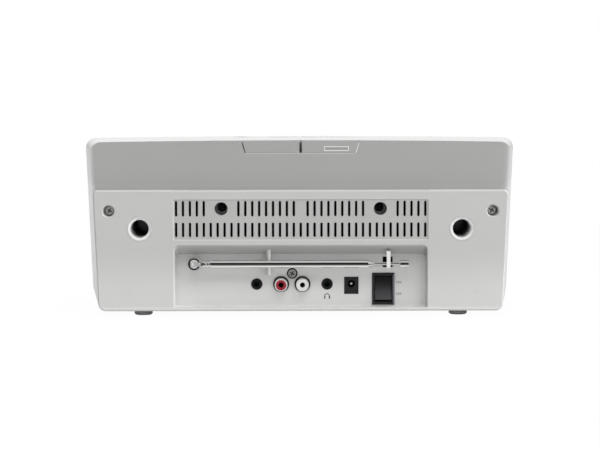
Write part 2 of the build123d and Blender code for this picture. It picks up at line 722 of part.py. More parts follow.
def cut_bay_floor(cap):
    """Openings in the floor of the bay, and the antenna's cradle on it."""
    through = (BACK_Y - 1, FLOOR_Y + 1)
    for x in (AUX_X, PHONES_X):
        cap -= bar_y(x, SOCKET_Z, *through, MINI_NOSE + FIT_GAP)
    for x in (RCA_RED_X, RCA_RED_X - RCA_PITCH):
        cap -= bar_y(x, SOCKET_Z, *through, RCA_RING + FIT_GAP)
    cap -= block_y(DC_X, DC_Z, (DC_SIZE[0] + FIT_GAP, DC_SIZE[1] + FIT_GAP), *through)
    cap -= block_y(SWITCH_X, SWITCH_Z, (SWITCH_BODY[0] + FIT_GAP, SWITCH_BODY[1] + FIT_GAP), *through)
    cap -= bar_y(JACK_SCREW_X, JACK_SCREW_Z, BACK_Y - 1, FLOOR_Y, JACK_SCREW_SHANK + 2 * FIT_GAP)
    cap -= bar_y(JACK_SCREW_X, JACK_SCREW_Z, FLOOR_Y - JACK_SCREW_SINK, FLOOR_Y + 1, JACK_SCREW_BORE)
    cap -= bar_y(ANTENNA_X, ANTENNA_Z, *through, TURRET_SHANK + 2 * RUN_GAP)
    cap -= span((HOOK_X - WINDOW_HALF, HOOK_X + WINDOW_HALF), through, WINDOW_Z)
    hook_half = HOOK_WIDTH / 2 + FIT_GAP / 2
    hook_z = (HOOK_ROOT_Z[0] - FIT_GAP / 2, HOOK_ROOT_Z[1] + FIT_GAP / 2)
    cap -= span((HOOK_X - hook_half, HOOK_X + hook_half), (BACK_Y - 1, REAR_Y), hook_z)
    prong_y = ANTENNA_Y - SECTION_OD / 2 - CRADLE_GAP + CRADLE_PRONG
    rib_x = (CRADLE_X - CRADLE_WIDTH / 2, CRADLE_X + CRADLE_WIDTH / 2)
    rib = span(rib_x, (FLOOR_Y - BAY_WALL / 2, prong_y), CRADLE_Z)
    front_edges = rib.faces().sort_by(Axis.Y)[-1].edges().filter_by(Axis.Z)
    rib = chamfer(front_edges, CRADLE_RIDGE)
    rib -= bar_x(rib_x[0] - 1, rib_x[1] + 1, ANTENNA_Y, ANTENNA_Z, SECTION_OD + 2 * CRADLE_GAP)
    return cap + rib


def make_feet():
    """Four rubber feet in their seats."""
    feet = []
    for x, y in foot_places():
        foot = bar_z(x, y, 0, FOOT_HEIGHT + FOOT_SINK, FOOT_OD)
        feet.append(chamfer(foot.faces().sort_by(Axis.Z)[0].edges(), FOOT_EDGE))
    return Compound(feet)


def make_cover_screws():
    """Four tapping screws, two in the corner wells and two in the deep wells of the vent panel."""
    screws = [
        screw(x, z, well_head_y[i], SCREW_HEAD, SCREW_HEAD_HEIGHT, SCREW_SHANK, SCREW_LENGTH)
        for x, z, i in tap_centres
    ]
    return Compound(screws)


def make_jack_screw():
    """Screw that holds the line out sockets against the bay floor."""
    head_y = FLOOR_Y - JACK_SCREW_SINK + JACK_WASHER_HEIGHT + JACK_SCREW_HEIGHT
    size = (JACK_SCREW_HEAD, JACK_SCREW_HEIGHT, JACK_SCREW_SHANK, JACK_SCREW_LENGTH)
    return screw(JACK_SCREW_X, JACK_SCREW_Z, head_y, *size)


def make_jack_washer():
    """Fibre washer under that screw, at the bottom of its recess."""
    low = FLOOR_Y - JACK_SCREW_SINK
    disc = bar_y(JACK_SCREW_X, JACK_SCREW_Z, low, low + JACK_WASHER_HEIGHT, JACK_SCREW_BORE - FIT_GAP)
    return disc - bar_y(JACK_SCREW_X, JACK_SCREW_Z, low - 1, FLOOR_Y, JACK_SCREW_SHANK + FIT_GAP)


def make_ports():
    """Two bass port tubes with flared lips, from the rear cover into the speaker boxes."""
    bore = PORT_BORE / 2
    outer = bore + PORT_WALL
    inner_y = BAFFLE_BACK_Y + BOX_DEPTH - BOX_WALL - PORT_REACH
    lip = PORT_LIP / 2
    seat_y = REAR_Y - PORT_LIP_DEPTH
    points = [
        (bore, inner_y), (outer, inner_y), (outer, seat_y), (lip, seat_y),
        (lip, REAR_Y - PORT_LIP_ROUND), (lip - PORT_LIP_ROUND, REAR_Y), (bore, REAR_Y),
    ]
    tubes = []
    for x in both(port_x):
        tube = turned_y(x, PORT_Z, points)
        mouth = tube.faces().sort_by(Axis.Y)[-1].inner_wires()[0].edges()
        tubes.append(fillet(mouth, PORT_FLARE))
    return Compound(tubes)


def make_mini_jack(x):
    """3.5 mm socket: round nose through the bay floor and a square body behind it."""
    wide, tall, deep = MINI_BODY
    nose = bar_y(x, SOCKET_Z, BACK_Y - 1, FLOOR_Y + MINI_PROUD, MINI_NOSE)
    nose = chamfer(nose.faces().sort_by(Axis.Y)[-1].edges(), MINI_EDGE)
    body = block_y(x, SOCKET_Z, (wide, tall), BACK_Y - deep, BACK_Y)
    mouth = FLOOR_Y + MINI_PROUD
    return nose + body - bar_y(x, SOCKET_Z, mouth - MINI_LENGTH, mouth + 1, MINI_BORE)


def rca_places():
    """The two line out sockets, red first."""
    return (RCA_RED_X, RCA_RED_X - RCA_PITCH)


def make_rca_block():
    """Black housing behind both line out sockets, with the screw boss between them."""
    xs = rca_places()
    edge = RCA_RING / 2 + RCA_BLOCK_EDGE
    block_z = (SOCKET_Z - edge, JACK_SCREW_Z + RCA_BOSS)
    body = span((xs[1] - edge, xs[0] + edge), (jack_block_y, BACK_Y), block_z)
    for x in xs:
        body += bar_y(x, SOCKET_Z, BACK_Y - 1, FLOOR_Y + RCA_RING_PROUD, RCA_RING)
        body -= bar_y(x, SOCKET_Z, BACK_Y - JACK_DEPTH / 2, FLOOR_Y + 2, RCA_SHELL - RCA_SHELL_STEP)
    screw_bore = JACK_SCREW_SHANK + 2 * RUN_GAP
    return body - bar_y(JACK_SCREW_X, JACK_SCREW_Z, BACK_Y - JACK_SCREW_LENGTH, BACK_Y + 1, screw_bore)


def make_rca_shells():
    """Metal collars of the line out sockets."""
    rear = BACK_Y - JACK_DEPTH / 2
    outer = RCA_SHELL / 2
    inner = outer - RCA_SHELL_WALL
    mouth = FLOOR_Y + RCA_PROUD
    held = outer - RCA_SHELL_STEP / 2
    ring_y = FLOOR_Y + RCA_RING_PROUD
    points = [
        (inner, rear), (held, rear), (held, ring_y), (outer, ring_y), (outer, mouth - RCA_SHELL_EDGE),
        (outer - RCA_SHELL_EDGE, mouth), (inner, mouth),
    ]
    return Compound([turned_y(x, SOCKET_Z, points) for x in rca_places()])


def make_rca_insert(x):
    """Coloured insulator inside one collar, with the centre contact's bore."""
    outer = RCA_SHELL / 2 - RCA_SHELL_WALL
    bore = RCA_CENTRE / 2
    mouth = FLOOR_Y + RCA_PROUD - RCA_INSERT_SINK
    rear = BACK_Y - JACK_DEPTH / 2
    floor_y = rear + WALL
    points = [
        (0, rear), (outer, rear), (outer, mouth), (bore + RCA_LEAD_IN, mouth), (bore, mouth - RCA_LEAD_IN),
        (bore, floor_y), (0, floor_y),
    ]
    return turned_y(x, SOCKET_Z, points)


def make_dc_jack():
    """Square power socket with a round bore."""
    mouth = FLOOR_Y + DC_PROUD
    body = block_y(DC_X, DC_Z, DC_SIZE, jack_block_y, mouth)
    body = chamfer(body.faces().sort_by(Axis.Y)[-1].edges(), DC_EDGE)
    body -= bar_y(DC_X, DC_BORE_Z, mouth - DC_DEPTH, mouth + 1, DC_BORE)
    return body - bar_y(DC_X, DC_BORE_Z, mouth - DC_DEPTH - DC_ROOT, mouth, DC_PIN - DC_ROOT_STEP)


def make_dc_pin():
    """Centre pin of the power socket."""
    floor_y = FLOOR_Y + DC_PROUD - DC_DEPTH
    pin = bar_y(DC_X, DC_BORE_Z, floor_y, FLOOR_Y + DC_PROUD - DC_PIN_SINK, DC_PIN)
    pin = fillet(pin.faces().sort_by(Axis.Y)[-1].edges(), DC_PIN / 4)
    return pin + bar_y(DC_X, DC_BORE_Z, floor_y - DC_ROOT, floor_y, DC_PIN - DC_ROOT_STEP)


def make_switch_housing():
    """Bezel and body of the rocker switch, open at the rear for the rocker."""
    front = FLOOR_Y + SWITCH_PROUD
    bezel = block_y(SWITCH_X, SWITCH_Z, SWITCH_SIZE, FLOOR_Y, front)
    bezel = chamfer(bezel.faces().sort_by(Axis.Y)[-1].edges(), SWITCH_EDGE)
    housing = bezel + block_y(SWITCH_X, SWITCH_Z, SWITCH_BODY, FLOOR_Y - SWITCH_BODY_DEPTH, FLOOR_Y)
    pocket = (ROCKER_SIZE[0] + 2 * ROCKER_GAP, ROCKER_SIZE[1] + 2 * ROCKER_GAP)
    housing -= block_y(SWITCH_X, SWITCH_Z, pocket, front - rocker_room, front + 1)
    half = SWITCH_BODY[0] / 2
    housing -= bar_x(SWITCH_X - half, SWITCH_X + half, rocker_axis_y, SWITCH_Z, ROCKER_PIN + 2 * RUN_GAP)
    return housing


def make_rocker():
    """Rocker with a hollow face, lying with its upper end pressed in."""
    wide, tall = ROCKER_SIZE
    half = tall / 2
    edge = half - ROCKER_DRAFT
    back = ROCKER_FACE - ROCKER_THICK
    sides = Polyline(
        (ROCKER_FACE, -edge), (0, -half), (back, -ROCKER_KEEL),
        (back, ROCKER_KEEL), (0, half), (ROCKER_FACE, edge),
    )
    hollow = ThreePointArc((ROCKER_FACE, edge), (ROCKER_FACE - ROCKER_HOLLOW, 0), (ROCKER_FACE, -edge))
    body = extrude(Plane.YZ.offset(-wide / 2) * make_face(sides + hollow), amount=wide)
    ends = body.edges().filter_by(Axis.X).sort_by(Axis.Y)[-2:]
    body = fillet(ends, ROCKER_EDGE)
    reach = wide / 2 + ROCKER_PIN_REACH
    pin = bar_x(-reach, reach, 0, 0, ROCKER_PIN)
    return Pos(SWITCH_X, rocker_axis_y, SWITCH_Z) * Rot(ROCKER_ANGLE, 0, 0) * (body + pin)


def make_jack_board():
    """Upright board that the sockets and the switch are soldered to."""
    x = (SWITCH_X + SWITCH_BODY[0] / 2 + FIT_GAP, AUX_X + JACK_BOARD_EDGE)
    return span(x, (jack_block_y - BOARD, jack_block_y), JACK_BOARD_Z)


def make_turret():
    """Antenna swivel: round head with a slot, and a shank through the bay floor."""
    top = ANTENNA_Y + TURRET_TOP
    head = bar_y(ANTENNA_X, ANTENNA_Z, FLOOR_Y + TURRET_HEAD_GAP, top, TURRET_OD)
    head = chamfer(head.faces().sort_by(Axis.Y)[-1].edges(), TURRET_EDGE)
    shank_y = BACK_Y - 2 * TURRET_HEAD_GAP - NUT_HEIGHT
    shank = bar_y(ANTENNA_X, ANTENNA_Z, shank_y, FLOOR_Y + 1, TURRET_SHANK)
    slot_half = TURRET_SLOT / 2
    slot = span(
        (ANTENNA_X - TURRET_OD, ANTENNA_X + TURRET_OD),
        (ANTENNA_Y - TONGUE_HEIGHT / 2 - TURRET_SLOT_ROOM, top + 1),
        (ANTENNA_Z - slot_half, ANTENNA_Z + slot_half),
    )
    reach = TURRET_OD
    pin_bore = bar_z(ANTENNA_X, ANTENNA_Y, ANTENNA_Z - reach, ANTENNA_Z + reach, PIVOT_PIN + 2 * RUN_GAP)
    return head + shank - slot - pin_bore


def make_pivot_pin():
    """Pin that the antenna tilts on, across the slot of the swivel."""
    reach = TURRET_OD / 2 - FIT_GAP
    return bar_z(ANTENNA_X, ANTENNA_Y, ANTENNA_Z - reach, ANTENNA_Z + reach, PIVOT_PIN)


def make_antenna_nut():
    """Nut that keeps the swivel in the bay floor."""
    low = BACK_Y - TURRET_HEAD_GAP - NUT_HEIGHT
    nut = prism_y(Pos(ANTENNA_X, ANTENNA_Z) * RegularPolygon(NUT_OD / 2, 6), low, low + NUT_HEIGHT)
    return nut - bar_y(ANTENNA_X, ANTENNA_Z, low - 1, low + NUT_HEIGHT + 1, TURRET_SHANK)


def section_size(index):
    """Outer diameter, bore and mouth place of one antenna tube, counted from the outside."""
    outer = SECTION_OD - index * SECTION_STEP
    bore = outer - 2 * SECTION_WALL
    mouth_x = SECTION_END_X - (index * SECTION_STAGGER if index else 0)
    return outer, bore, mouth_x


def inner_start_x(index):
    """Where a tube begins, inside the ones around it."""
    return SECTION_START_X - (SECTION_PLUG + index * SECTION_SETBACK if index else 0)


def make_section(index):
    """One antenna tube with a tapered mouth; the outermost carries the hinge tongue."""
    outer, bore, mouth_x = section_size(index)
    start_x = inner_start_x(index)
    mouth = outer / 2 if index == 0 else outer / 2 - SECTION_TAPER
    shoulder_x = mouth_x + SECTION_STAGGER
    points = [(mouth_x, bore / 2), (mouth_x, mouth), (shoulder_x, outer / 2), (start_x, outer / 2)]
    if index > 0:
        return turned_x(points + [(start_x, bore / 2)])
    end_x = start_x - SECTION_PLUG
    body = turned_x(points + [(start_x, 0), (end_x, 0), (end_x, bore / 2)])
    half = TONGUE / 2
    tongue_y = (ANTENNA_Y - TONGUE_HEIGHT / 2, ANTENNA_Y + TONGUE_HEIGHT / 2)
    tongue_z = (ANTENNA_Z - half, ANTENNA_Z + half)
    neck_end_x = start_x + NECK_BEADS[-1][0]
    body += span((neck_end_x - BEAD_ROUND, ANTENNA_X), tongue_y, tongue_z)
    body += bar_x(start_x - 1, neck_end_x, ANTENNA_Y, ANTENNA_Z, NECK_OD)
    for place, bead_od in NECK_BEADS:
        bead_x = (start_x + place - BEAD_LENGTH, start_x + place)
        bead = bar_x(*bead_x, ANTENNA_Y, ANTENNA_Z, bead_od)
        body += fillet(bead.edges().filter_by(GeomType.CIRCLE), BEAD_ROUND)
    body += bar_z(ANTENNA_X, ANTENNA_Y, *tongue_z, TONGUE_HEIGHT)
    return body - bar_z(ANTENNA_X, ANTENNA_Y, tongue_z[0] - 1, tongue_z[1] + 1, PIVOT_PIN + 2 * RUN_GAP)


def make_rod():
    """Innermost antenna rod with its end cap."""
    rod = bar_x(ANTENNA_TIP_X[0], inner_start_x(SECTION_COUNT), ANTENNA_Y, ANTENNA_Z, ROD_OD)
    cap = bar_x(ANTENNA_TIP_X[1], ANTENNA_TIP_X[0], ANTENNA_Y, ANTENNA_Z, TIP_OD)
    cap = fillet(cap.edges().filter_by(GeomType.CIRCLE), TIP_ROUND)
    return rod + cap


def make_hook():
    """Springy finger over the antenna's rod, snapped into the bay floor."""
    half = HOOK_WIDTH / 2
    inner_y = ANTENNA_Y + ROD_OD / 2 + CRADLE_GAP
    outer_y = inner_y + HOOK_THICK
    arm = span((-half, half), (BACK_Y - BAY_WALL / 2, outer_y), HOOK_ROOT_Z)
    finger = span((-half, half), (inner_y, outer_y), (HOOK_LOW_Z, HOOK_ROOT_Z[1]))
    hook = arm + finger
    outer_top = hook.edges().filter_by(Axis.X).sort_by(lambda e: e.center().Y + e.center().Z)[-1]
    return Pos(HOOK_X, 0, 0) * fillet(outer_top, HOOK_ROUND)


def make_door(side):
    """Port door, turning on a pin near the middle of the radio."""
    plate = prism_y(door_outline(side, DOOR_GAP, top_surface_z + 1), SEAM_Y - DOOR_THICK, SEAM_Y)
    hinge_x = side * door_hinge_x
    near = span((0, hinge_x), (SEAM_Y - 2 * DOOR_THICK, SEAM_Y + 1), (DOOR_LOW_Z, top_surface_z + 1))
    plate -= near
    low = DOOR_LOW_Z + DOOR_GAP
    barrel = bar_z(hinge_x, door_hinge_y, low, top_surface_z + 1, 2 * DOOR_BARREL)
    door = plate + barrel
    body = body_block(FRONT_Y, SEAM_Y, FOOT_HEIGHT, TOP_Z, 0, CORNER_BOTTOM, CORNER_TOP, CROWN)
    door = door & body
    pin_room_z = DOOR_LOW_Z + DOOR_PIN_HEIGHT + 2 * FIT_GAP
    door -= bar_z(hinge_x, door_hinge_y, low - 1, pin_room_z, DOOR_PIN + 2 * RUN_GAP)
    if side < 0:
        centre = ((GRIP_X[0] + GRIP_X[1]) / 2, DOOR_LOW_Z + (GRIP_RISE[0] + GRIP_RISE[1]) / 2)
        grip = RectangleRounded(GRIP_X[1] - GRIP_X[0], GRIP_RISE[1] - GRIP_RISE[0], GRIP_CORNER)
        door -= prism_y(Pos(side * centre[0], centre[1]) * grip, SEAM_Y - GRIP_DEPTH, SEAM_Y + 1)
    return door


def make_port_socket(x, size, depth):
    """Socket shell with its tongue, behind one of the port doors."""
    wide, tall = size
    mouth = SEAM_Y - DOOR_SINK - FIT_GAP
    rear = mouth - depth
    shell = block_y(x, usb_z, size, rear, mouth)
    shell -= block_y(x, usb_z, (wide - 2 * USB_SKIN, tall - 2 * USB_SKIN), rear + USB_BACK, mouth + 1)
    tongue = (wide * USB_TONGUE[0], tall * USB_TONGUE[1])
    return shell + block_y(x, usb_z + tall * USB_TONGUE_RISE, tongue, rear + 1, mouth - USB_TONGUE_SINK)


def front_plate(y_low, y_high):
    """Plate that fills the mouth of the cabinet between two depths."""
    corners = (CORNER_BOTTOM - WALL, CORNER_TOP - WALL)
    return body_block(y_low, y_high, panel_low_z, panel_high_z, panel_inset, *corners, CROWN)


def make_baffle():
    """Black inner front wall with a rim, two upright ribs and the speaker holes."""
    baffle = front_plate(PANEL_BACK_Y, BAFFLE_BACK_Y)
    baffle -= body_block(
        PANEL_BACK_Y - 1, BAFFLE_Y, panel_low_z + WALL, panel_high_z - WALL, panel_inset + WALL,
        CORNER_BOTTOM - 2 * WALL, CORNER_TOP - 2 * WALL, CROWN
    )
    for x in both(panel_half):
        rib_x = (x - WALL / 2, x + WALL / 2)
        baffle += span(rib_x, (PANEL_BACK_Y, BAFFLE_Y + 1), (panel_low_z + WALL / 2, panel_high_z - WALL / 2))
    for x in both(speaker_x):
        baffle -= bar_y(x, SPEAKER_Z, BAFFLE_Y - 1, BAFFLE_BACK_Y + 1, BASKET_OD + 2 * FIT_GAP)
    return baffle


def make_grille(side):
    """Slotted grille plate over one speaker, beside the centre panel."""
    y_low = FRONT_Y + GRILLE_SINK
    plate = front_plate(y_low, y_low + GRILLE)
    edge = panel_half + FIT_GAP
    plate &= span((side * edge, side * 2 * FRONT_HALF_TOP), (FRONT_Y - 1, BAFFLE_Y), (0, 2 * TOP_Z))
    low = panel_low_z + GRILLE_MARGIN
    high = panel_high_z - GRILLE_MARGIN
    near = edge + GRILLE_MARGIN
    outer = side_x(FRONT_Y, FOOT_HEIGHT) - panel_inset - GRILLE_MARGIN
    count = int((outer - near) // GRILLE_PITCH)
    bar = (high - low - (GRILLE_ROWS - 1) * GRILLE_BRIDGE) / GRILLE_ROWS
    start = (near + outer - count * GRILLE_PITCH) / 2
    slots = []
    for column in range(count + 1):
        for row in range(GRILLE_ROWS):
            z = low + bar / 2 + row * (bar + GRILLE_BRIDGE)
            place = Pos(side * (start + column * GRILLE_PITCH), z)
            slots.append(place * SlotOverall(bar, GRILLE_SLOT, rotation=90))
    return plate - prism_y(Sketch() + slots, FRONT_Y - 1, BAFFLE_Y)


def make_centre_panel():
    """White centre panel with the display window and the openings for dial and keys."""
    width = span(both(panel_half), (FRONT_Y - 1, BAFFLE_Y), (0, 2 * TOP_Z))
    panel = front_plate(FRONT_Y, PANEL_BACK_Y) & width
    through = (FRONT_Y - 1, PANEL_BACK_Y + 1)
    panel -= prism_y(window_shape(0), FRONT_Y - 1, FRONT_Y + LENS)
    panel -= prism_y(window_shape(LENS_STEP), *through)
    panel -= bar_y(0, DIAL_Z, *through, ROTOR_OD + 2 * KEY_GAP)
    for x, z in key_places():
        hole = SlotOverall(KEY_SIZE[0] + 2 * KEY_GAP, KEY_SIZE[1] + 2 * KEY_GAP)
        panel -= prism_y(Pos(x, z) * hole, *through)
    return panel


def key_places():
    """Centres of the four front keys."""
    return [(x, z) for x in both(key_x) for z in KEY_Z]


def window_shape(inset):
    """Outline of the display window, made smaller all round by an inset."""
    wide, tall = window_size
    outline = RectangleRounded(wide - 2 * inset, tall - 2 * inset, WINDOW_CORNER - inset)
    return Pos(0, window_z) * outline


def make_lens():
    """Dark display lens, seated in the step of the centre panel."""
    return prism_y(window_shape(FIT_GAP / 2), FRONT_Y, FRONT_Y + LENS)


def make_display():
    """Display module on the front board."""
    size = (window_size[0] + 2 * DISPLAY_EDGE[0], window_size[1] + 2 * DISPLAY_EDGE[1])
    return block_y(0, window_z, size, front_board_y - DISPLAY_DEPTH, front_board_y)


def make_front_board():
    """Board behind the centre panel, on the baffle."""
    low = FOOT_HEIGHT + 3 * WALL
    return span(both(panel_half - WALL), (front_board_y, BAFFLE_Y), (low, top_board_z - WALL))


def make_key(x, z):
    """Front key: cap, flange behind the panel and stem into its switch."""
    cap_y = FRONT_Y - KEY_PROUD
    seat_y = PANEL_BACK_Y + KEY_PLAY
    cap = prism_y(Pos(x, z) * SlotOverall(*KEY_SIZE), cap_y, seat_y + KEY_FLANGE)
    cap = fillet(cap.faces().sort_by(Axis.Y)[0].edges(), KEY_ROUND)
    flange = SlotOverall(KEY_SIZE[0] + 2 * KEY_FLANGE_EDGE, KEY_SIZE[1] + 2 * KEY_FLANGE_EDGE)
    key = cap + prism_y(Pos(x, z) * flange, seat_y, seat_y + KEY_FLANGE)
    return key + bar_y(x, z, seat_y, front_board_y - TACT_HEIGHT + TACT_OVERLAP, KEY_STEM)


def make_tact_switches():
    """Six small push switches: four on the front board and two on the board under the top."""
    switches = []
    pocket = KEY_STEM + TACT_PLAY
    low = front_board_y - TACT_HEIGHT
    for x, z in key_places():
        body = block_y(x, z, (TACT_SIZE, TACT_SIZE), low, front_board_y)
        switches.append(body - bar_y(x, z, low - 1, low + TACT_SINK, pocket))
    base = top_board_z + BOARD
    high = base + TACT_HEIGHT
    half = TACT_SIZE / 2
    for x in (SNOOZE_X, POWER_X):
        body = span((x - half, x + half), (top_key_y - half, top_key_y + half), (base, high))
        switches.append(body - bar_z(x, top_key_y, high - TACT_SINK, high + 1, pocket))
    return Compound(switches)


def make_top_key(x, shape, flange):
    """Key in the top: cap, flange under the top wall and stem into its switch."""
    flange_top = top_surface_z - WALL - TOP_KEY_PLAY
    flange_low = flange_top - KEY_FLANGE
    cap = Pos(x, top_key_y, flange_low) * extrude(shape, amount=top_key_z - flange_low)
    cap = fillet(cap.faces().sort_by(Axis.Z)[-1].edges(), TOP_KEY_ROUND)
    key = cap + Pos(x, top_key_y, flange_low) * extrude(flange, amount=KEY_FLANGE)
    stem_low = top_board_z + BOARD + TACT_HEIGHT - TACT_OVERLAP
    return key + bar_z(x, top_key_y, stem_low, flange_low + KEY_FLANGE / 2, KEY_STEM)


def make_top_board():
    """Small board under the two keys in the top, on its two posts."""
    depth = (top_key_y - TOP_BOARD_HALF_DEPTH, top_key_y + TOP_BOARD_HALF_DEPTH)
    return span(TOP_BOARD_X, depth, (top_board_z, top_board_z + BOARD))


def make_encoder():
    """Fixed body of the rotary encoder, on the front board."""
    low = front_board_y - ENCODER_DEPTH
    body = block_y(0, DIAL_Z, (ENCODER_SIZE, ENCODER_SIZE), low, front_board_y)
    return body - bar_y(0, DIAL_Z, low - 1, front_board_y - ENCODER_FLOOR, ENCODER_SEAT)


def make_rotor():
    """Turning collar of the encoder, which the dial's shaft slides in."""
    front_y = rotor_base_y - ROTOR_LENGTH
    collar_y = front_board_y - ENCODER_DEPTH - 2 * RUN_GAP
    rotor = bar_y(0, DIAL_Z, front_y, collar_y, ROTOR_OD)
    rotor += bar_y(0, DIAL_Z, collar_y, rotor_base_y, ENCODER_SEAT - 2 * RUN_GAP)
    return rotor - bar_y(0, DIAL_Z, front_y - 1, rotor_base_y + 1, DIAL_SHAFT + 2 * RUN_GAP)


def make_dial():
    """Large tuning dial: gripped skirt, dished face and the shaft behind it."""
    face_y = FRONT_Y - DIAL_PROUD
    radius = DIAL_OD / 2
    inner = radius - DIAL_SHELL
    dish = radius * DIAL_DISH_SHARE
    dish_y = face_y + DIAL_DISH
    points = [
        (0, dish_y), (dish, dish_y), (dish + DIAL_RIM_SLOPE, face_y), (radius - DIAL_EDGE, face_y),
        (radius, face_y + DIAL_EDGE), (radius, dial_back_y), (inner, dial_back_y),
        (inner, dish_y + DIAL_SHELL), (0, dish_y + DIAL_SHELL),
    ]
    dial = turned_y(0, DIAL_Z, points)
    groove = Pos(radius + DIAL_GRIP_OUT, 0) * Circle(DIAL_GRIP_BORE / 2)
    grips = [Pos(0, DIAL_Z) * Rot(0, 0, index * 360 / DIAL_GRIPS) * groove for index in range(DIAL_GRIPS)]
    dial -= prism_y(Sketch() + grips, face_y + 2 * DIAL_EDGE, dial_back_y + 1)
    dial += bar_y(0, DIAL_Z, face_y + DIAL_SHELL, dial_back_y - DIAL_HUB_SINK, DIAL_HUB)
    dial -= bar_y(0, DIAL_Z, dial_back_y - DIAL_HUB_ROOM[1], dial_back_y + 1, DIAL_HUB_ROOM[0])
    shaft_end_y = rotor_base_y - DIAL_TRAVEL - FIT_GAP
    return dial + bar_y(0, DIAL_Z, face_y + DIAL_SHELL, shaft_end_y, DIAL_SHAFT)


def make_speaker_frame(x):
    """Speaker frame: flange on the baffle, and a basket with four windows down to the magnet."""
    wide, narrow = BASKET_OD / 2, BASKET_BACK_OD / 2
    hole = GAP_OUTER / 2
    roll = ROLL_OD / 2
    floor_y = basket_back_y - BASKET_WALL
    points = [
        (roll, flange_y), (FLANGE_OD / 2, flange_y), (FLANGE_OD / 2, BAFFLE_Y), (wide, BAFFLE_Y),
        (narrow, basket_back_y), (hole, basket_back_y), (hole, floor_y), (narrow - BASKET_WALL, floor_y),
        (wide - BASKET_WALL, BAFFLE_Y), (roll, flange_y + FLANGE / 2),
    ]
    frame = turned_y(x, SPEAKER_Z, points)
    window = Rectangle(FLANGE_OD, narrow) + Rectangle(narrow, FLANGE_OD)
    window_y = (BAFFLE_Y + BASKET_WINDOW[0], basket_back_y - BASKET_WINDOW[1])
    return frame - prism_y(Pos(x, SPEAKER_Z) * window, *window_y)


def make_magnets():
    """Ring magnets with the steel pole that leaves the voice coil's gap."""
    outer, gap_out, gap_in = MAGNET_OD / 2, GAP_OUTER / 2, GAP_INNER / 2
    pole_y = basket_back_y - POLE_PROUD
    high = basket_back_y + MAGNET_DEPTH
    floor_y = high - MAGNET_FLOOR
    points = [
        (0, pole_y), (gap_in, pole_y), (gap_in, floor_y), (gap_out, floor_y),
        (gap_out, basket_back_y), (outer, basket_back_y), (outer, high), (0, high),
    ]
    return Compound([turned_y(x, SPEAKER_Z, points) for x in both(speaker_x)])


def make_cone(x):
    """Speaker cone with dust cap and voice coil, one moving piece."""
    lip = CONE_OD / 2
    neck = COIL_OD / 2
    inner = lip - CONE_LIP
    neck_y = cone_lip_y + CONE_DEPTH
    coil_y = basket_back_y + COIL_DEPTH
    coil_in = neck - COIL_WALL
    cap_y = neck_y - CAP_RISE
    cap_front = [(share * neck, cap_y + rise) for share, rise in CAP_CURVE]
    cap_rear = [(share * coil_in, cap_y + rise + CONE_WALL) for share, rise in reversed(CAP_CURVE)]
    lip_y = cone_lip_y + CONE_WALL
    points = [
        *cap_front, (neck + CONE_WALL / 2, neck_y - CONE_WALL), (inner, cone_lip_y), (lip, cone_lip_y),
        (lip, lip_y), (inner + CONE_WALL / 2, lip_y), (neck, neck_y), (neck, coil_y), (coil_in, coil_y),
        *cap_rear,
    ]
    return turned_y(x, SPEAKER_Z, points)


def make_surround(x):
    """Rubber half roll between the cone's lip and the flange."""
    lip = CONE_OD / 2
    roll = ROLL_OD / 2 + SURROUND
    outer = FLANGE_OD / 2 - FLANGE
    low = cone_lip_y - SURROUND
    shoulder_y = low - ROLL_HEIGHT * ROLL_SHOULDER
    middle = (lip + roll) / 2
    near, far = (lip + middle) / 2, (roll + middle) / 2
    inward = SURROUND / 3
    points = [
        (lip - CONE_LIP, low), (lip, low), (near, shoulder_y), (middle, low - ROLL_HEIGHT),
        (far, shoulder_y), (roll, low), (outer, low), (outer, flange_y),
        (roll - SURROUND / 2, flange_y), (far - inward, shoulder_y + SURROUND),
        (middle, low - ROLL_HEIGHT + SURROUND), (near + inward, shoulder_y + SURROUND),
        (lip + inward / 2, cone_lip_y), (lip - CONE_LIP, cone_lip_y),
    ]
    return turned_y(x, SPEAKER_Z, points)


def make_speaker_box(side):
    """Closed box behind one speaker, open towards the baffle and holed for the bass port."""
    x = (side * speaker_x - BOX_HALF, side * speaker_x + BOX_HALF)
    back = BAFFLE_BACK_Y + BOX_DEPTH
    box = span(x, (BAFFLE_BACK_Y, back), (box_low_z, box_high_z))
    box = fillet(box.edges().filter_by(Axis.Y), BOX_CORNER)
    inner = span(
        (x[0] + BOX_WALL, x[1] - BOX_WALL), (BAFFLE_BACK_Y - 1, back - BOX_WALL),
        (box_low_z + BOX_WALL, box_high_z - BOX_WALL),
    )
    box -= fillet(inner.edges().filter_by(Axis.Y), BOX_CORNER - BOX_WALL)
    port_od = PORT_BORE + 2 * PORT_WALL + FIT_GAP
    return box - bar_y(side * port_x, PORT_Z, back - BOX_WALL - 1, back + 1, port_od)


def make_main_board():
    """Main board on four posts above the bottom wall."""
    return span(both(main_half), main_y, (MAIN_Z, MAIN_Z + BOARD))


def make_radio_module():
    """Screened radio module on the main board."""
    wide, deep, tall = MODULE_SIZE
    y = sum(main_y) / 2
    low = MAIN_Z + BOARD
    can = span((MODULE_X - wide / 2, MODULE_X + wide / 2), (y - deep / 2, y + deep / 2), (low, low + tall))
    return fillet(can.edges().filter_by(Axis.Z), MODULE_CORNER)


snooze_shape = SlotOverall(*SNOOZE_SIZE)
snooze_flange = SlotOverall(SNOOZE_SIZE[0] + 2 * KEY_FLANGE_EDGE, SNOOZE_SIZE[1] + 2 * KEY_FLANGE_EDGE)
power_shape = Circle(POWER_OD / 2)
power_flange = Circle(POWER_OD / 2 + KEY_FLANGE_EDGE)
key_names = ("menu_key", "back_key", "info_key", "select_key")

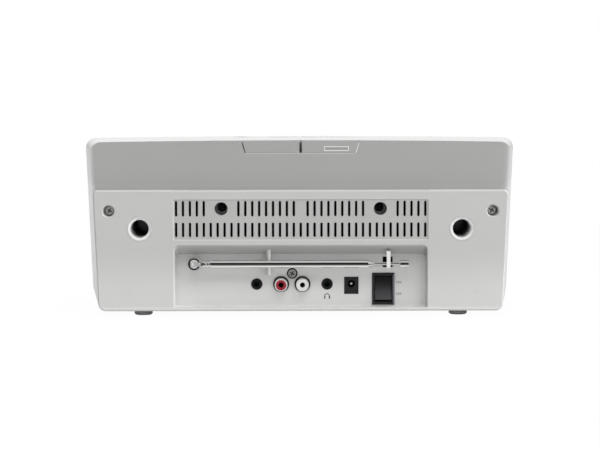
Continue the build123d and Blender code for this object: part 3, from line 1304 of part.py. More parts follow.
nodes = {
    "cabinet": make_cabinet(),
    "rear_cover": make_rear_cover(),
    "feet": make_feet(),
    "cover_screws": make_cover_screws(),
    "jack_screw": make_jack_screw(),
    "jack_washer": make_jack_washer(),
    "port_tubes": make_ports(),
    "aux_jack": make_mini_jack(AUX_X),
    "headphone_jack": make_mini_jack(PHONES_X),
    "rca_block": make_rca_block(),
    "rca_shells": make_rca_shells(),
    "rca_insert_red": make_rca_insert(RCA_RED_X),
    "rca_insert_white": make_rca_insert(RCA_RED_X - RCA_PITCH),
    "dc_jack": make_dc_jack(),
    "dc_pin": make_dc_pin(),
    "switch_housing": make_switch_housing(),
    "power_rocker": make_rocker(),
    "jack_board": make_jack_board(),
    "antenna_turret": make_turret(),
    "antenna_pin": make_pivot_pin(),
    "antenna_nut": make_antenna_nut(),
    "antenna_rod": make_rod(),
    "antenna_hook": make_hook(),
    "usb_door": make_door(-1),
    "service_door": make_door(1),
    "usb_socket": make_port_socket(USB_X, USB_SIZE, USB_DEPTH),
    "service_socket": make_port_socket(SERVICE_X, SERVICE_SIZE, SERVICE_DEPTH),
    "front_baffle": make_baffle(),
    "centre_panel": make_centre_panel(),
    "display_lens": make_lens(),
    "display_module": make_display(),
    "front_board": make_front_board(),
    "tact_switches": make_tact_switches(),
    "snooze_bar": make_top_key(SNOOZE_X, snooze_shape, snooze_flange),
    "power_key": make_top_key(POWER_X, power_shape, power_flange),
    "top_board": make_top_board(),
    "encoder_body": make_encoder(),
    "encoder_rotor": make_rotor(),
    "tuning_dial": make_dial(),
    "speaker_magnets": make_magnets(),
    "main_board": make_main_board(),
    "radio_module": make_radio_module(),
}
for index in range(SECTION_COUNT):
    nodes[f"antenna_section_{index + 1}"] = make_section(index)
for name, (x, z) in zip(key_names, key_places()):
    nodes[name] = make_key(x, z)
for word, side in (("left", -1), ("right", 1)):
    nodes[f"grille_{word}"] = make_grille(side)
    nodes[f"speaker_frame_{word}"] = make_speaker_frame(side * speaker_x)
    nodes[f"speaker_cone_{word}"] = make_cone(side * speaker_x)
    nodes[f"speaker_surround_{word}"] = make_surround(side * speaker_x)
    nodes[f"speaker_box_{word}"] = make_speaker_box(side)

os.makedirs("parts", exist_ok=True)
for name, shape in nodes.items():
    export_step(shape, f"parts/{name}.step")
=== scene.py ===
# Looks of an internet radio: materials for its solids, thin trim and marks, then the camera and the studio.
# Left and right in the names of lines and lamps are those of the photo, which shows the rear.
import math

import bmesh
import bpy
from mathutils import Matrix, Vector


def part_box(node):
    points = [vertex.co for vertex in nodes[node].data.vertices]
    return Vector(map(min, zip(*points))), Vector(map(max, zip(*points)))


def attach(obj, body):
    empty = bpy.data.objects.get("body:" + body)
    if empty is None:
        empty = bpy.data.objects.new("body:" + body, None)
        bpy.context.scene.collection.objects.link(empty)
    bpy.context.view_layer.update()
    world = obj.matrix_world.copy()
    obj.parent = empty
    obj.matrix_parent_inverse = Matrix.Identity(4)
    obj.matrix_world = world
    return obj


MM = 0.001
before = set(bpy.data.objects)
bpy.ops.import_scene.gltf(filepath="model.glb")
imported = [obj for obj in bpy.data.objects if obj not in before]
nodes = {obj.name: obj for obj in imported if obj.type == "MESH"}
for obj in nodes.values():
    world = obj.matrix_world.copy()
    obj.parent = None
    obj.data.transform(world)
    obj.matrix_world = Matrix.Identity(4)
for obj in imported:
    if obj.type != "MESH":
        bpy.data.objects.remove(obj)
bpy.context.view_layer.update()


def corners(node):
    """Lowest and highest corner of a CAD node's box, in millimetres."""
    low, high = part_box(node)
    return low / MM, high / MM


def middle(node):
    """Centre of a CAD node's box, in millimetres."""
    low, high = corners(node)
    return (low + high) / 2


# Places that the script works from, in millimetres in the frame of the part. The rim of the switch
# stands on the floor of the bay, and gives the place of that floor.
SWITCH_RIM = 2.0
REAR_Y = corners("rear_cover")[1].y
COVER_TOP_Z = corners("rear_cover")[1].z
BAY_FLOOR_Y = corners("switch_housing")[1].y - SWITCH_RIM
SEAM_Y = corners("cabinet")[1].y
TOP_Z = corners("cabinet")[1].z

# Broad clouds of noise, in cycles per metre, and how far they move the roughness up and down
CLOUDS = 22
ROUGHNESS_SPREAD = 0.04

# Sockets of a Mix node that mixes colours
MIX_SHARE, MIX_FIRST, MIX_SECOND, MIX_RESULT = 0, 6, 7, 2


# Materials: single nodes, each given the tree that it goes into
def new_material(name, colour, roughness, metallic=0.0, coat=0.0, specular=0.5):
    """Material with a Principled shader, and its tree and shader to build on."""
    material = bpy.data.materials.new(name)
    material.use_nodes = True
    tree = material.node_tree
    shader = tree.nodes["Principled BSDF"]
    shader.inputs["Base Color"].default_value = (*colour, 1)
    shader.inputs["Roughness"].default_value = roughness
    shader.inputs["Metallic"].default_value = metallic
    shader.inputs["Coat Weight"].default_value = coat
    shader.inputs["Specular IOR Level"].default_value = specular
    return material, tree, shader


def add_noise(tree, scale, detail=3.0, stretch=(1, 1, 1)):
    """Noise over the object's own place, with a scale in cycles per metre."""
    place = tree.nodes.new("ShaderNodeTexCoord")
    mapping = tree.nodes.new("ShaderNodeMapping")
    mapping.inputs["Scale"].default_value = stretch
    noise = tree.nodes.new("ShaderNodeTexNoise")
    noise.inputs["Scale"].default_value = scale
    noise.inputs["Detail"].default_value = detail
    tree.links.new(place.outputs["Object"], mapping.inputs["Vector"])
    tree.links.new(mapping.outputs["Vector"], noise.inputs["Vector"])
    return noise.outputs["Fac"]


def add_split(tree, output):
    """X, Y and Z of the object's own place or normal, in metres for the place."""
    place = tree.nodes.new("ShaderNodeTexCoord")
    split = tree.nodes.new("ShaderNodeSeparateXYZ")
    tree.links.new(place.outputs[output], split.inputs["Vector"])
    return split.outputs


def add_range(tree, value, low, high):
    """A 0 to 1 value spread between two others."""
    spread = tree.nodes.new("ShaderNodeMapRange")
    spread.inputs["To Min"].default_value = low
    spread.inputs["To Max"].default_value = high
    tree.links.new(value, spread.inputs["Value"])
    return spread.outputs["Result"]


def add_step(tree, value, start, end, before=0.0, after=1.0):
    """Smooth step of a value from one level to another."""
    step = tree.nodes.new("ShaderNodeMapRange")
    step.interpolation_type = "SMOOTHSTEP"
    step.inputs["From Min"].default_value = start
    step.inputs["From Max"].default_value = end
    step.inputs["To Min"].default_value = before
    step.inputs["To Max"].default_value = after
    tree.links.new(value, step.inputs["Value"])
    return step.outputs["Result"]


def add_place_step(tree, value, start, end, before=0.0, after=1.0):
    """Smooth step along one axis of the object's own place, from start to end in millimetres."""
    return add_step(tree, value, start * MM, end * MM, before, after)


def add_math(tree, operation, *values):
    """Value worked out from one or two others."""
    node = tree.nodes.new("ShaderNodeMath")
    node.operation = operation
    for value, socket in zip(values, node.inputs):
        tree.links.new(value, socket)
    return node.outputs["Value"]


def add_product(tree, product, *values):
    """Two or more values multiplied."""
    for value in values:
        product = add_math(tree, "MULTIPLY", product, value)
    return product


def add_blend(tree, share, first, second):
    """Mix of two colours by a share, where each is a written colour or the output of a node."""
    mix = tree.nodes.new("ShaderNodeMix")
    mix.data_type = "RGBA"
    for colour, socket in ((first, mix.inputs[MIX_FIRST]), (second, mix.inputs[MIX_SECOND])):
        if isinstance(colour, tuple):
            socket.default_value = (*colour, 1)
        else:
            tree.links.new(colour, socket)
    tree.links.new(share, mix.inputs[MIX_SHARE])
    return mix.outputs[MIX_RESULT]


def add_bump(tree, shader, height, distance):
    """Bump from a height value, with a distance in millimetres."""
    bump = tree.nodes.new("ShaderNodeBump")
    bump.inputs["Strength"].default_value = 1.0
    bump.inputs["Distance"].default_value = distance * MM
    tree.links.new(height, bump.inputs["Height"])
    tree.links.new(bump.outputs["Normal"], shader.inputs["Normal"])


def paint(tree, shader, colour, level):
    """Colour times a level, linked to the shader."""
    scale = tree.nodes.new("ShaderNodeVectorMath")
    scale.operation = "SCALE"
    tree.links.new(colour, scale.inputs[0])
    tree.links.new(level, scale.inputs["Scale"])
    tree.links.new(scale.outputs["Vector"], shader.inputs["Base Color"])


def tint(tree, shader, colour, value, amount):
    """Colour that gets a little darker and lighter with a value, linked to the shader."""
    darker = tuple(part * (1 - amount) for part in colour)
    lighter = tuple(min(1, part * (1 + amount)) for part in colour)
    tree.links.new(add_blend(tree, value, darker, lighter), shader.inputs["Base Color"])


def vary_roughness(tree, shader, value, low, high):
    """Roughness that goes from low to high with a 0 to 1 value."""
    tree.links.new(add_range(tree, value, low, high), shader.inputs["Roughness"])


# Materials: plastics and metals that are alike all over
def moulded(name, colour, roughness, grain=0.4, depth=0.01, variation=0.02, coat=0.0):
    """Moulded plastic: fine spark grain, a little colour variation and uneven gloss, sizes in millimetres."""
    material, tree, shader = new_material(name, colour, roughness, coat=coat)
    fine = add_noise(tree, 1 / (grain * MM))
    clouds = add_noise(tree, CLOUDS)
    tint(tree, shader, colour, clouds, variation)
    vary_roughness(tree, shader, clouds, roughness - ROUGHNESS_SPREAD, roughness + ROUGHNESS_SPREAD)
    add_bump(tree, shader, fine, depth)
    return material


def metal(name, colour, roughness, scale, metallic=1.0, stretch=(1, 1, 1), depth=0.002, variation=0.05):
    """Metal with fine marks, drawn out along one direction by a stretch, with a depth in millimetres."""
    smoothest = 0.6
    roughest = 1.5
    material, tree, shader = new_material(name, colour, roughness, metallic=metallic)
    marks = add_noise(tree, scale, detail=4, stretch=stretch)
    tint(tree, shader, colour, marks, variation)
    vary_roughness(tree, shader, marks, roughness * smoothest, roughness * roughest)
    add_bump(tree, shader, marks, depth)
    return material


# Materials: those that change from one place on their piece to another
def make_shell():
    """White satin moulding whose flat upper rear wall is painted a darker grey as painted shade, and whose
    walls are painted a little darker than its top, with painted light just over the cover.
    """
    white = (0.76, 0.76, 0.755)
    shaded_side_white = (0.57, 0.57, 0.568)
    rear_shade_grey = (0.385, 0.385, 0.377)
    roughness = 0.36
    top_coat = 0.8
    side_coat = 0.05
    gap_half_width = 3.2
    painted_lift_height = 6.0
    painted_lift = 1.14
    material, tree, shader = new_material("white_shell", white, roughness)
    shader.inputs["Coat Roughness"].default_value = 0.22
    place = add_split(tree, "Object")
    normal = add_split(tree, "Normal")

    # Painted shade: the upper rear wall is painted grey near the seam, over the cover, and where it faces the
    # rear or lies between the two doors
    near_seam = add_place_step(tree, place["Y"], SEAM_Y - 3.0, SEAM_Y - 1.0)
    above_cover = add_place_step(tree, place["Z"], COVER_TOP_Z - 0.2, COVER_TOP_Z + 0.4)
    facing_rear = add_step(tree, normal["Y"], 0.55, 0.995)
    across = add_math(tree, "ABSOLUTE", place["X"])
    between_doors = add_product(
        tree,
        add_place_step(tree, across, gap_half_width, gap_half_width + 0.2, 1.0, 0.0),
        add_step(tree, normal["Z"], 0.2, 0.5, 1.0, 0.0),
    )
    rear = add_product(tree, near_seam, above_cover, add_math(tree, "MAXIMUM", facing_rear, between_doors))

    # The top has a coat and the walls are without one; the walls are also painted a little darker than the
    # top, as painted shade
    upright = add_step(tree, normal["Z"], 0.3, 0.9, 1.0, 0.0)
    tree.links.new(add_range(tree, upright, top_coat, side_coat), shader.inputs["Coat Weight"])
    colour = add_blend(tree, rear, add_blend(tree, upright, white, shaded_side_white), rear_shade_grey)
    # Painted light: the wall is lighter for a few millimetres just over the cover
    painted_light_over_cover = add_place_step(tree, place["Z"], COVER_TOP_Z, COVER_TOP_Z + painted_lift_height, painted_lift, 1.0)
    clouds = add_noise(tree, CLOUDS)
    paint(tree, shader, colour, add_product(tree, painted_light_over_cover, add_range(tree, clouds, 0.98, 1.02)))
    vary_roughness(tree, shader, clouds, roughness - ROUGHNESS_SPREAD, roughness + ROUGHNESS_SPREAD)
    add_bump(tree, shader, add_noise(tree, 1100), 0.006)
    return material


def make_cover():
    """Light grey moulding with painted shade on the vent panel and under the top of the bay, and painted
    light low down.
    """
    upper = (0.55, 0.55, 0.542)
    lower = (0.66, 0.66, 0.652)
    roughness = 0.5
    vent_half_width = 83.0
    vent_low_z = 47.5
    edge_top_z = 5.5
    material, tree, shader = new_material("grey_cover", upper, roughness)
    place = add_split(tree, "Object")
    normal = add_split(tree, "Normal")
    # Painted light and shade: darker towards the top of the cover, lighter towards the bottom
    colour = add_blend(tree, add_place_step(tree, place["Z"], 10.0, 46.0, 1.0, 0.0), upper, lower)

    # Recessed vent panel, painted darker: painted shade
    sunk = add_place_step(tree, place["Y"], REAR_Y - 0.5, REAR_Y - 0.1, 1.0, 0.0)
    across = add_math(tree, "ABSOLUTE", place["X"])
    middle_part = add_place_step(tree, across, vent_half_width, vent_half_width + 1.0, 1.0, 0.0)
    above_bay = add_place_step(tree, place["Z"], vent_low_z, vent_low_z + 1.5)
    vent = add_product(tree, sunk, middle_part, above_bay)

    # Painted shade on the slanted wall over the bay, and painted light on the lower part of the bay's floor
    overhang = add_step(tree, normal["Z"], -0.35, -0.1, 1.0, 0.0)
    deep = add_place_step(tree, place["Y"], BAY_FLOOR_Y + 1.0, REAR_Y - 1.0, 1.0, 0.0)
    floor_low = add_place_step(tree, place["Z"], 6.0, 30.0, 1.0, 0.0)

    # Painted light and shade by place, lighter at the lower edge, and by the way that a wall faces: lighter
    # up and to -X, darker to +X; then random tone from the clouds
    clouds = add_noise(tree, CLOUDS)
    levels = (
        add_range(tree, vent, 1.0, 0.86),
        add_range(tree, overhang, 1.0, 0.76),
        add_range(tree, add_product(tree, deep, floor_low), 1.0, 1.15),
        add_step(tree, normal["Z"], 0.2, 0.6, 1.0, 1.25),
        add_place_step(tree, place["Z"], edge_top_z, edge_top_z + 1.5, 1.12, 1.0),
        add_step(tree, normal["X"], -0.6, -0.2, 1.35, 1.0),
        add_step(tree, normal["X"], 0.2, 0.6, 1.0, 0.72),
        add_range(tree, clouds, 0.98, 1.02),
    )
    paint(tree, shader, colour, add_product(tree, *levels))
    vary_roughness(tree, shader, clouds, roughness - ROUGHNESS_SPREAD, roughness + ROUGHNESS_SPREAD)
    add_bump(tree, shader, add_noise(tree, 2800), 0.02)
    return material


def make_port_plastic():
    """Pale moulding with painted shade down the port's bore, and painted light on the walls that face -X or
    up.
    """
    pale = (0.88, 0.88, 0.87)
    dark = (0.012, 0.012, 0.012)
    unlit_level = 0.70
    material, tree, shader = new_material("port_plastic", pale, 0.42)
    place = add_split(tree, "Object")
    normal = add_split(tree, "Normal")
    # Painted shade: dark down the bore, and darker on the walls that face neither -X nor up
    near_rear = add_place_step(tree, place["Y"], REAR_Y - 34.0, REAR_Y - 3.0)
    lit_aside = add_step(tree, normal["X"], -0.4, 0.0, 1.0, 0.0)
    lit_below = add_step(tree, normal["Z"], 0.0, 0.4)
    lit = add_math(tree, "MAXIMUM", lit_aside, lit_below)
    fine = add_noise(tree, 2000)
    level = add_product(tree, add_range(tree, lit, unlit_level, 1.0), add_range(tree, fine, 0.97, 1.03))
    paint(tree, shader, add_blend(tree, near_rear, dark, pale), level)
    add_bump(tree, shader, fine, 0.01)
    return material


def make_insert(name, colour, node):
    """Glossy insulator with painted shade: its bore gets dark below its face."""
    dark = (0.01, 0.01, 0.01)
    material, tree, shader = new_material(name, colour, 0.33)
    place = add_split(tree, "Object")
    face_y = corners(node)[1].y
    open_part = add_place_step(tree, place["Y"], face_y - 1.6, face_y - 0.3)
    marks = add_noise(tree, 2000)
    paint(tree, shader, add_blend(tree, open_part, dark, colour), add_range(tree, marks, 0.95, 1.05))
    add_bump(tree, shader, marks, 0.004)
    return material


def make_rocker():
    """Glossy black rocker with painted light: lighter low down, where its hollow face tilts up."""
    black = (0.006, 0.006, 0.007)
    painted_light_black = (0.062, 0.063, 0.067)
    material, tree, shader = new_material("black_gloss", (0.02, 0.02, 0.022), 0.3)
    place = add_split(tree, "Object")
    low, high = corners("power_rocker")
    lower_part = add_place_step(tree, place["Z"], low.z + 2.0, high.z - 1.5, 1.0, 0.0)
    marks = add_noise(tree, 1600)
    paint(tree, shader, add_blend(tree, lower_part, black, painted_light_black), add_range(tree, marks, 0.92, 1.08))
    add_bump(tree, shader, marks, 0.004)
    return material


def make_switch_plastic():
    """Black bezel with a painted pale blue highlight on its edge towards -X."""
    black = (0.012, 0.012, 0.013)
    highlight_blue = (0.16, 0.165, 0.19)
    material, tree, shader = new_material("switch_plastic", black, 0.4)
    normal = add_split(tree, "Normal")
    painted_highlight = add_step(tree, normal["X"], -0.62, -0.35, 1.0, 0.0)
    fine = add_noise(tree, 2800)
    paint(tree, shader, add_blend(tree, painted_highlight, black, highlight_blue), add_range(tree, fine, 0.9, 1.1))
    add_bump(tree, shader, fine, 0.012)
    return material


def add_face_step(tree, place, node, cross_shade_level):
    """Level of a screw's head, from the painted shade of its cross up to 1 at its face."""
    face_y = corners(node)[1].y
    return add_place_step(tree, place["Y"], face_y - 0.45, face_y - 0.1, cross_shade_level, 1.0)


def make_jack_screw_metal():
    """Bright zinc with painted shade in its cross."""
    zinc_grey = (0.42, 0.41, 0.39)
    dark = (0.05, 0.05, 0.05)
    material, tree, shader = new_material("jack_screw_metal", zinc_grey, 0.3, metallic=0.4)
    place = add_split(tree, "Object")
    raised = add_face_step(tree, place, "jack_screw", 0.1)
    marks = add_noise(tree, 900, detail=4)
    paint(tree, shader, add_blend(tree, raised, dark, zinc_grey), add_range(tree, marks, 0.8, 1.2))
    add_bump(tree, shader, marks, 0.004)
    return material


def make_screw_metal():
    """Dull zinc of the cover screws, painted black as shade at the bottom of the deep wells, with painted
    shade in their crosses.
    """
    zinc_grey = (0.80, 0.79, 0.77)
    black = (0.012, 0.012, 0.012)
    material, tree, shader = new_material("screw_metal", zinc_grey, 0.34, metallic=0.3)
    place = add_split(tree, "Object")
    across = add_math(tree, "ABSOLUTE", place["X"])
    in_corner = add_place_step(tree, across, 70.0, 90.0)
    marks = add_noise(tree, 900, detail=4)
    raised = add_face_step(tree, place, "cover_screws", 0.12)
    level = add_product(tree, raised, add_range(tree, marks, 0.85, 1.15))
    paint(tree, shader, add_blend(tree, in_corner, black, zinc_grey), level)
    vary_roughness(tree, shader, marks, 0.2, 0.45)
    add_bump(tree, shader, marks, 0.004)
    return material


def make_chrome():
    """Bright tube metal that is less of a mirror at the hinge than along the tubes."""
    hinge_x = corners("antenna_turret")[0].x
    material = metal("chrome", (0.80, 0.80, 0.80), 0.07, 1800, stretch=(0.05, 1, 1))
    tree = material.node_tree
    place = add_split(tree, "Object")
    mirror = add_place_step(tree, place["X"], hinge_x - 1.0, hinge_x, 1.0, 0.5)
    tree.links.new(mirror, tree.nodes["Principled BSDF"].inputs["Metallic"])
    return material


def make_screen():
    """Dark display glass with a coat of its own."""
    smears_per_metre = 30
    material, tree, shader = new_material("screen", (0.006, 0.007, 0.008), 0.08, coat=0.3, specular=0.3)
    vary_roughness(tree, shader, add_noise(tree, smears_per_metre), 0.05, 0.12)
    return material


def make_dial_metal():
    """Turned aluminium: fine rings round the dial's own line."""
    silver = (0.62, 0.63, 0.64)
    material, tree, shader = new_material("dial_silver", silver, 0.26, metallic=1.0)
    centre = middle("tuning_dial") * MM
    place = tree.nodes.new("ShaderNodeTexCoord")
    mapping = tree.nodes.new("ShaderNodeMapping")
    mapping.inputs["Location"].default_value = (-centre.x, 0, -centre.z)
    flat = tree.nodes.new("ShaderNodeVectorMath")
    flat.operation = "MULTIPLY"
    flat.inputs[1].default_value = (1, 0, 1)
    radius = tree.nodes.new("ShaderNodeVectorMath")
    radius.operation = "LENGTH"
    rings = tree.nodes.new("ShaderNodeTexNoise")
    rings.noise_dimensions = "1D"
    rings.inputs["Scale"].default_value = 2600
    tree.links.new(place.outputs["Object"], mapping.inputs["Vector"])
    tree.links.new(mapping.outputs["Vector"], flat.inputs[0])
    tree.links.new(flat.outputs["Vector"], radius.inputs[0])
    tree.links.new(radius.outputs["Value"], rings.inputs["W"])
    tint(tree, shader, silver, rings.outputs["Fac"], 0.08)
    add_bump(tree, shader, rings.outputs["Fac"], 0.004)
    return material


black_plastic = moulded("black_plastic", (0.012, 0.012, 0.013), 0.42, grain=0.35, depth=0.015, variation=0.15)
black_socket = moulded("black_socket", (0.006, 0.006, 0.006), 0.3, grain=0.3, depth=0.004, variation=0.1)
# Painted highlights: grey and pale strips for edges that catch the light
highlight_grey = moulded("highlight_grey", (0.52, 0.52, 0.51), 0.45, grain=0.5, depth=0.004)
highlight_white = moulded("highlight_white", (0.80, 0.80, 0.79), 0.4, grain=0.5, depth=0.004)
print_ink = moulded("print_ink", (0.06, 0.06, 0.06), 0.6, variation=0.05)

finish_of = {
    make_shell(): ["cabinet", "centre_panel", "usb_door", "service_door", "grille_left", "grille_right"],
    make_cover(): ["rear_cover"],
    make_port_plastic(): ["port_tubes"],
    make_insert("red_plastic", (0.33, 0.018, 0.035), "rca_insert_red"): ["rca_insert_red"],
    make_insert("white_plastic", (0.80, 0.80, 0.785), "rca_insert_white"): ["rca_insert_white"],
    make_rocker(): ["power_rocker"],
    make_switch_plastic(): ["switch_housing"],
    make_jack_screw_metal(): ["jack_screw"],
    make_screw_metal(): ["cover_screws"],
    make_chrome(): [
        "antenna_pin", "antenna_section_1", "antenna_section_2", "antenna_section_3", "antenna_section_4",
        "antenna_rod",
    ],
    make_screen(): ["display_lens"],
    make_dial_metal(): ["tuning_dial"],
    black_plastic: ["rca_block", "front_baffle", "encoder_body", "encoder_rotor", "dc_jack", "jack_washer"],
    black_socket: ["aux_jack", "headphone_jack", "tact_switches"],
    moulded("white_key", (0.62, 0.625, 0.62), 0.3, grain=0.8, depth=0.004, coat=0.2): [
        "snooze_bar", "power_key", "menu_key", "back_key", "info_key", "select_key",
    ],
    moulded("hook_plastic", (0.80, 0.80, 0.785), 0.4, grain=0.5, depth=0.008): ["antenna_hook"],
    moulded("rubber", (0.25, 0.255, 0.26), 0.75, grain=0.25, depth=0.03, variation=0.2): ["feet"],
    moulded("surround_rubber", (0.015, 0.015, 0.016), 0.6, grain=0.5, variation=0.15): [
        "speaker_surround_left", "speaker_surround_right",
    ],
    moulded("circuit_board", (0.012, 0.10, 0.035), 0.35, grain=1.2, depth=0.02, variation=0.25): [
        "jack_board", "front_board", "top_board", "main_board", "display_module",
    ],
    moulded("cone_paper", (0.022, 0.022, 0.023), 0.85, grain=0.6, depth=0.05, variation=0.3): [
        "speaker_cone_left", "speaker_cone_right",
    ],
    moulded("box_plastic", (0.02, 0.02, 0.021), 0.6, grain=0.6, depth=0.02, variation=0.15): [
        "speaker_box_left", "speaker_box_right",
    ],
    metal("satin_chrome", (0.80, 0.80, 0.79), 0.3, 1200, metallic=0.35): ["antenna_turret"],
    metal("nickel", (0.86, 0.85, 0.83), 0.3, 1200, metallic=0.3): ["rca_shells"],
    metal("zinc", (0.62, 0.61, 0.58), 0.3, 900, metallic=0.5, depth=0.004, variation=0.12): [
        "antenna_nut", "dc_pin",
    ],
    metal("sheet_steel", (0.56, 0.56, 0.57), 0.3, 700, stretch=(1, 0.1, 1), depth=0.004): [
        "speaker_frame_left", "speaker_frame_right", "speaker_magnets", "radio_module", "usb_socket",
        "service_socket",
    ],
}
for material, names in finish_of.items():
    for name in names:
        nodes[name].data.materials.clear()
        nodes[name].data.materials.append(material)


# Pieces added to the solids
PRINT = 0.03
REAR_OUT = (0, 1, 0)
FRONT_OUT = (0, -1, 0)
UP = (0, 0, 1)


def add_piece(name, mesh, material, body):
    """Object made of a finished mesh, riding on a body."""
    mesh.materials.clear()
    mesh.materials.append(material)
    piece = bpy.data.objects.new(name, mesh)
    bpy.context.scene.collection.objects.link(piece)
    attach(piece, body)


def add_prism(shape, outline, base, up, out, thick):
    """Flat plate from a 2-D outline: its base point, its way up, the way that it stands out, and how far."""
    across = up.cross(out)
    rings = []
    for rise in (0, thick):
        rings.append([shape.verts.new(base + across * u + up * v + out * rise) for u, v in outline])
    shape.faces.new(rings[0])
    shape.faces.new(rings[1])
    count = len(outline)
    for i in range(count):
        j = (i + 1) % count
        shape.faces.new((rings[0][i], rings[0][j], rings[1][j], rings[1][i]))


def add_mark(name, outlines, base, up, out, material, body, thick=PRINT):
    """Thin piece, such as a printed mark, made of one or more flat outlines, in millimetres."""
    shape = bmesh.new()
    for outline in outlines:
        add_prism(shape, outline, Vector(base), Vector(up), Vector(out), thick)
    bmesh.ops.recalc_face_normals(shape, faces=shape.faces)
    mesh = bpy.data.meshes.new(name)
    shape.to_mesh(mesh)
    shape.free()
    mesh.transform(Matrix.Scale(MM, 4))
    add_piece(name, mesh, material, body)


def add_text(name, words, size, base, rotation, material, body):
    """Small printed word as a flat mesh, with its size and base point in millimetres."""
    curve = bpy.data.curves.new(name, "FONT")
    curve.body = words
    curve.size = size * MM
    curve.align_x = "CENTER"
    curve.align_y = "CENTER"
    curve.extrude = PRINT * MM / 2
    text = bpy.data.objects.new(name + "_curve", curve)
    bpy.context.scene.collection.objects.link(text)
    text.rotation_euler = rotation
    text.location = Vector(base) * MM
    bpy.context.view_layer.update()
    mesh = bpy.data.meshes.new_from_object(text)
    mesh.transform(text.matrix_world)
    bpy.data.objects.remove(text)
    add_piece(name, mesh, material, body)


def arc(radius, start, end, steps):
    """Points of an arc round the origin, with angles in degrees."""
    points = []
    for i in range(steps + 1):
        angle = math.radians(start + (end - start) * i / steps)
        points.append((radius * math.cos(angle), radius * math.sin(angle)))
    return points


def disc(radius):
    """Outline of a full circle."""
    sides = 24
    return arc(radius, 0, 360 - 360 / sides, sides - 1)


def bar(x0, z0, x1, z1):
    """Outline of a rectangle."""
    return [(x0, z0), (x1, z0), (x1, z1), (x0, z1)]


def band(radius, width, start, end):
    """Outline of part of a ring."""
    steps = 28
    return arc(radius + width / 2, start, end, steps) + arc(radius - width / 2, end, start, steps)


# Marks on the floor of the connector bay
WORD_SIZE = 2.3
WORD_ASIDE = 10.2
FACING_REAR = (math.radians(90), 0, math.radians(180))
switch = middle("switch_housing")
for word, rise in (("ON", 4.1), ("OFF", -3.6)):
    add_text(
        "mark_" + word.lower(), word, WORD_SIZE,
        (switch.x - WORD_ASIDE, BAY_FLOOR_Y + PRINT / 2, switch.z + rise),
        FACING_REAR, print_ink, "housing",
    )
SIGN_DROP = 8.0
HEAD_RADIUS = 1.55
CUP_HALF_WIDTH = 0.42
phones = middle("headphone_jack")
headphones = [band(HEAD_RADIUS, 0.5, 0, 180)]
for cup_middle in (-HEAD_RADIUS, HEAD_RADIUS):
    headphones.append(bar(cup_middle - CUP_HALF_WIDTH, -1.75, cup_middle + CUP_HALF_WIDTH, 0.1))
add_mark(
    "mark_headphones", headphones, (phones.x, BAY_FLOOR_Y, phones.z - SIGN_DROP), UP, REAR_OUT,
    print_ink, "housing",
)

# Dark ring round the head of the antenna's swivel, open where the first tube swings out
RING_RADIUS = 3.4
RING_WIDTH = 1.05
RING_HEIGHT = 0.3
RING_SINK = 0.25
RING_OPENING = 24
turret = middle("antenna_turret")
turret_top_y = corners("antenna_turret")[1].y
ring_halves = [
    band(RING_RADIUS, RING_WIDTH, RING_OPENING, 180),
    band(RING_RADIUS, RING_WIDTH, 180, 360 - RING_OPENING),
]
add_mark(
    "turret_ring", ring_halves, (turret.x, turret_top_y - RING_SINK, turret.z), UP, REAR_OUT,
    black_socket, "antenna_swivel", RING_HEIGHT,
)

# Painted highlight: a pale rim inside the nail groove of a port door, where its edges catch the light
GROOVE_MIDDLE_X = -23.3
GROOVE_RISE = 2.55
GROOVE_HALF_WIDTH = 8.1
GROOVE_HALF_HEIGHT = 1.5
GROOVE_DEPTH = 0.8
RIM = 0.55
RIM_PROUD = 0.05
door_low_z = corners("usb_door")[0].z
inner_half_width = GROOVE_HALF_WIDTH - RIM
inner_half_height = GROOVE_HALF_HEIGHT - RIM
groove_highlight = [
    bar(-GROOVE_HALF_WIDTH, -GROOVE_HALF_HEIGHT, -inner_half_width, GROOVE_HALF_HEIGHT),
    bar(inner_half_width, -GROOVE_HALF_HEIGHT, GROOVE_HALF_WIDTH, GROOVE_HALF_HEIGHT),
    bar(-inner_half_width, inner_half_height, inner_half_width, GROOVE_HALF_HEIGHT),
    bar(-inner_half_width, -GROOVE_HALF_HEIGHT, inner_half_width, -inner_half_height),
]
add_mark(
    "grip_highlight", groove_highlight, (GROOVE_MIDDLE_X, SEAM_Y - GROOVE_DEPTH, door_low_z + GROOVE_RISE), UP, REAR_OUT,
    highlight_white, "door_usb", GROOVE_DEPTH + RIM_PROUD,
)

# Painted shadow and painted highlight in the gaps round the two port doors: dark strips in the middle and
# left gaps, pale ones along the lower and right edges
DOOR_HALF_LOW = 36.1
DOOR_SLANT = 2.0
DOOR_DROP = 1.6
LOW_LINE_HALF = DOOR_HALF_LOW - 0.6
door_height = TOP_Z - DOOR_DROP - door_low_z


def add_door_line(name, outline, depth, thick, material):
    """Thin strip of painted shadow or painted highlight in a gap of the doors, set in from the rear wall by a
    depth.
    """
    add_mark(
        name, [outline], (0, SEAM_Y - depth, door_low_z), UP, REAR_OUT, material, "housing", thick
    )


def leaning(side, width):
    """Outline of a strip along the outer edge of one door, with side 1 towards -X and -1 towards +X."""
    low_middle = side * DOOR_HALF_LOW
    high_middle = side * (DOOR_HALF_LOW + DOOR_SLANT)
    return [
        (low_middle + width / 2, 0), (low_middle - width / 2, 0),
        (high_middle - width / 2, door_height), (high_middle + width / 2, door_height),
    ]


add_door_line(
    "door_highlight_low", bar(-LOW_LINE_HALF, -0.75, LOW_LINE_HALF, -0.15), 0.45, 0.43, highlight_grey
)
add_door_line(
    "door_shadow_middle", bar(-0.35, 0, 0.35, door_height), 1.0, 0.6, black_plastic
)
add_door_line("door_shadow_left", leaning(-1, 0.7), 0.5, 0.45, black_plastic)
add_door_line("door_highlight_right", leaning(1, 0.5), 0.5, 0.45, highlight_white)

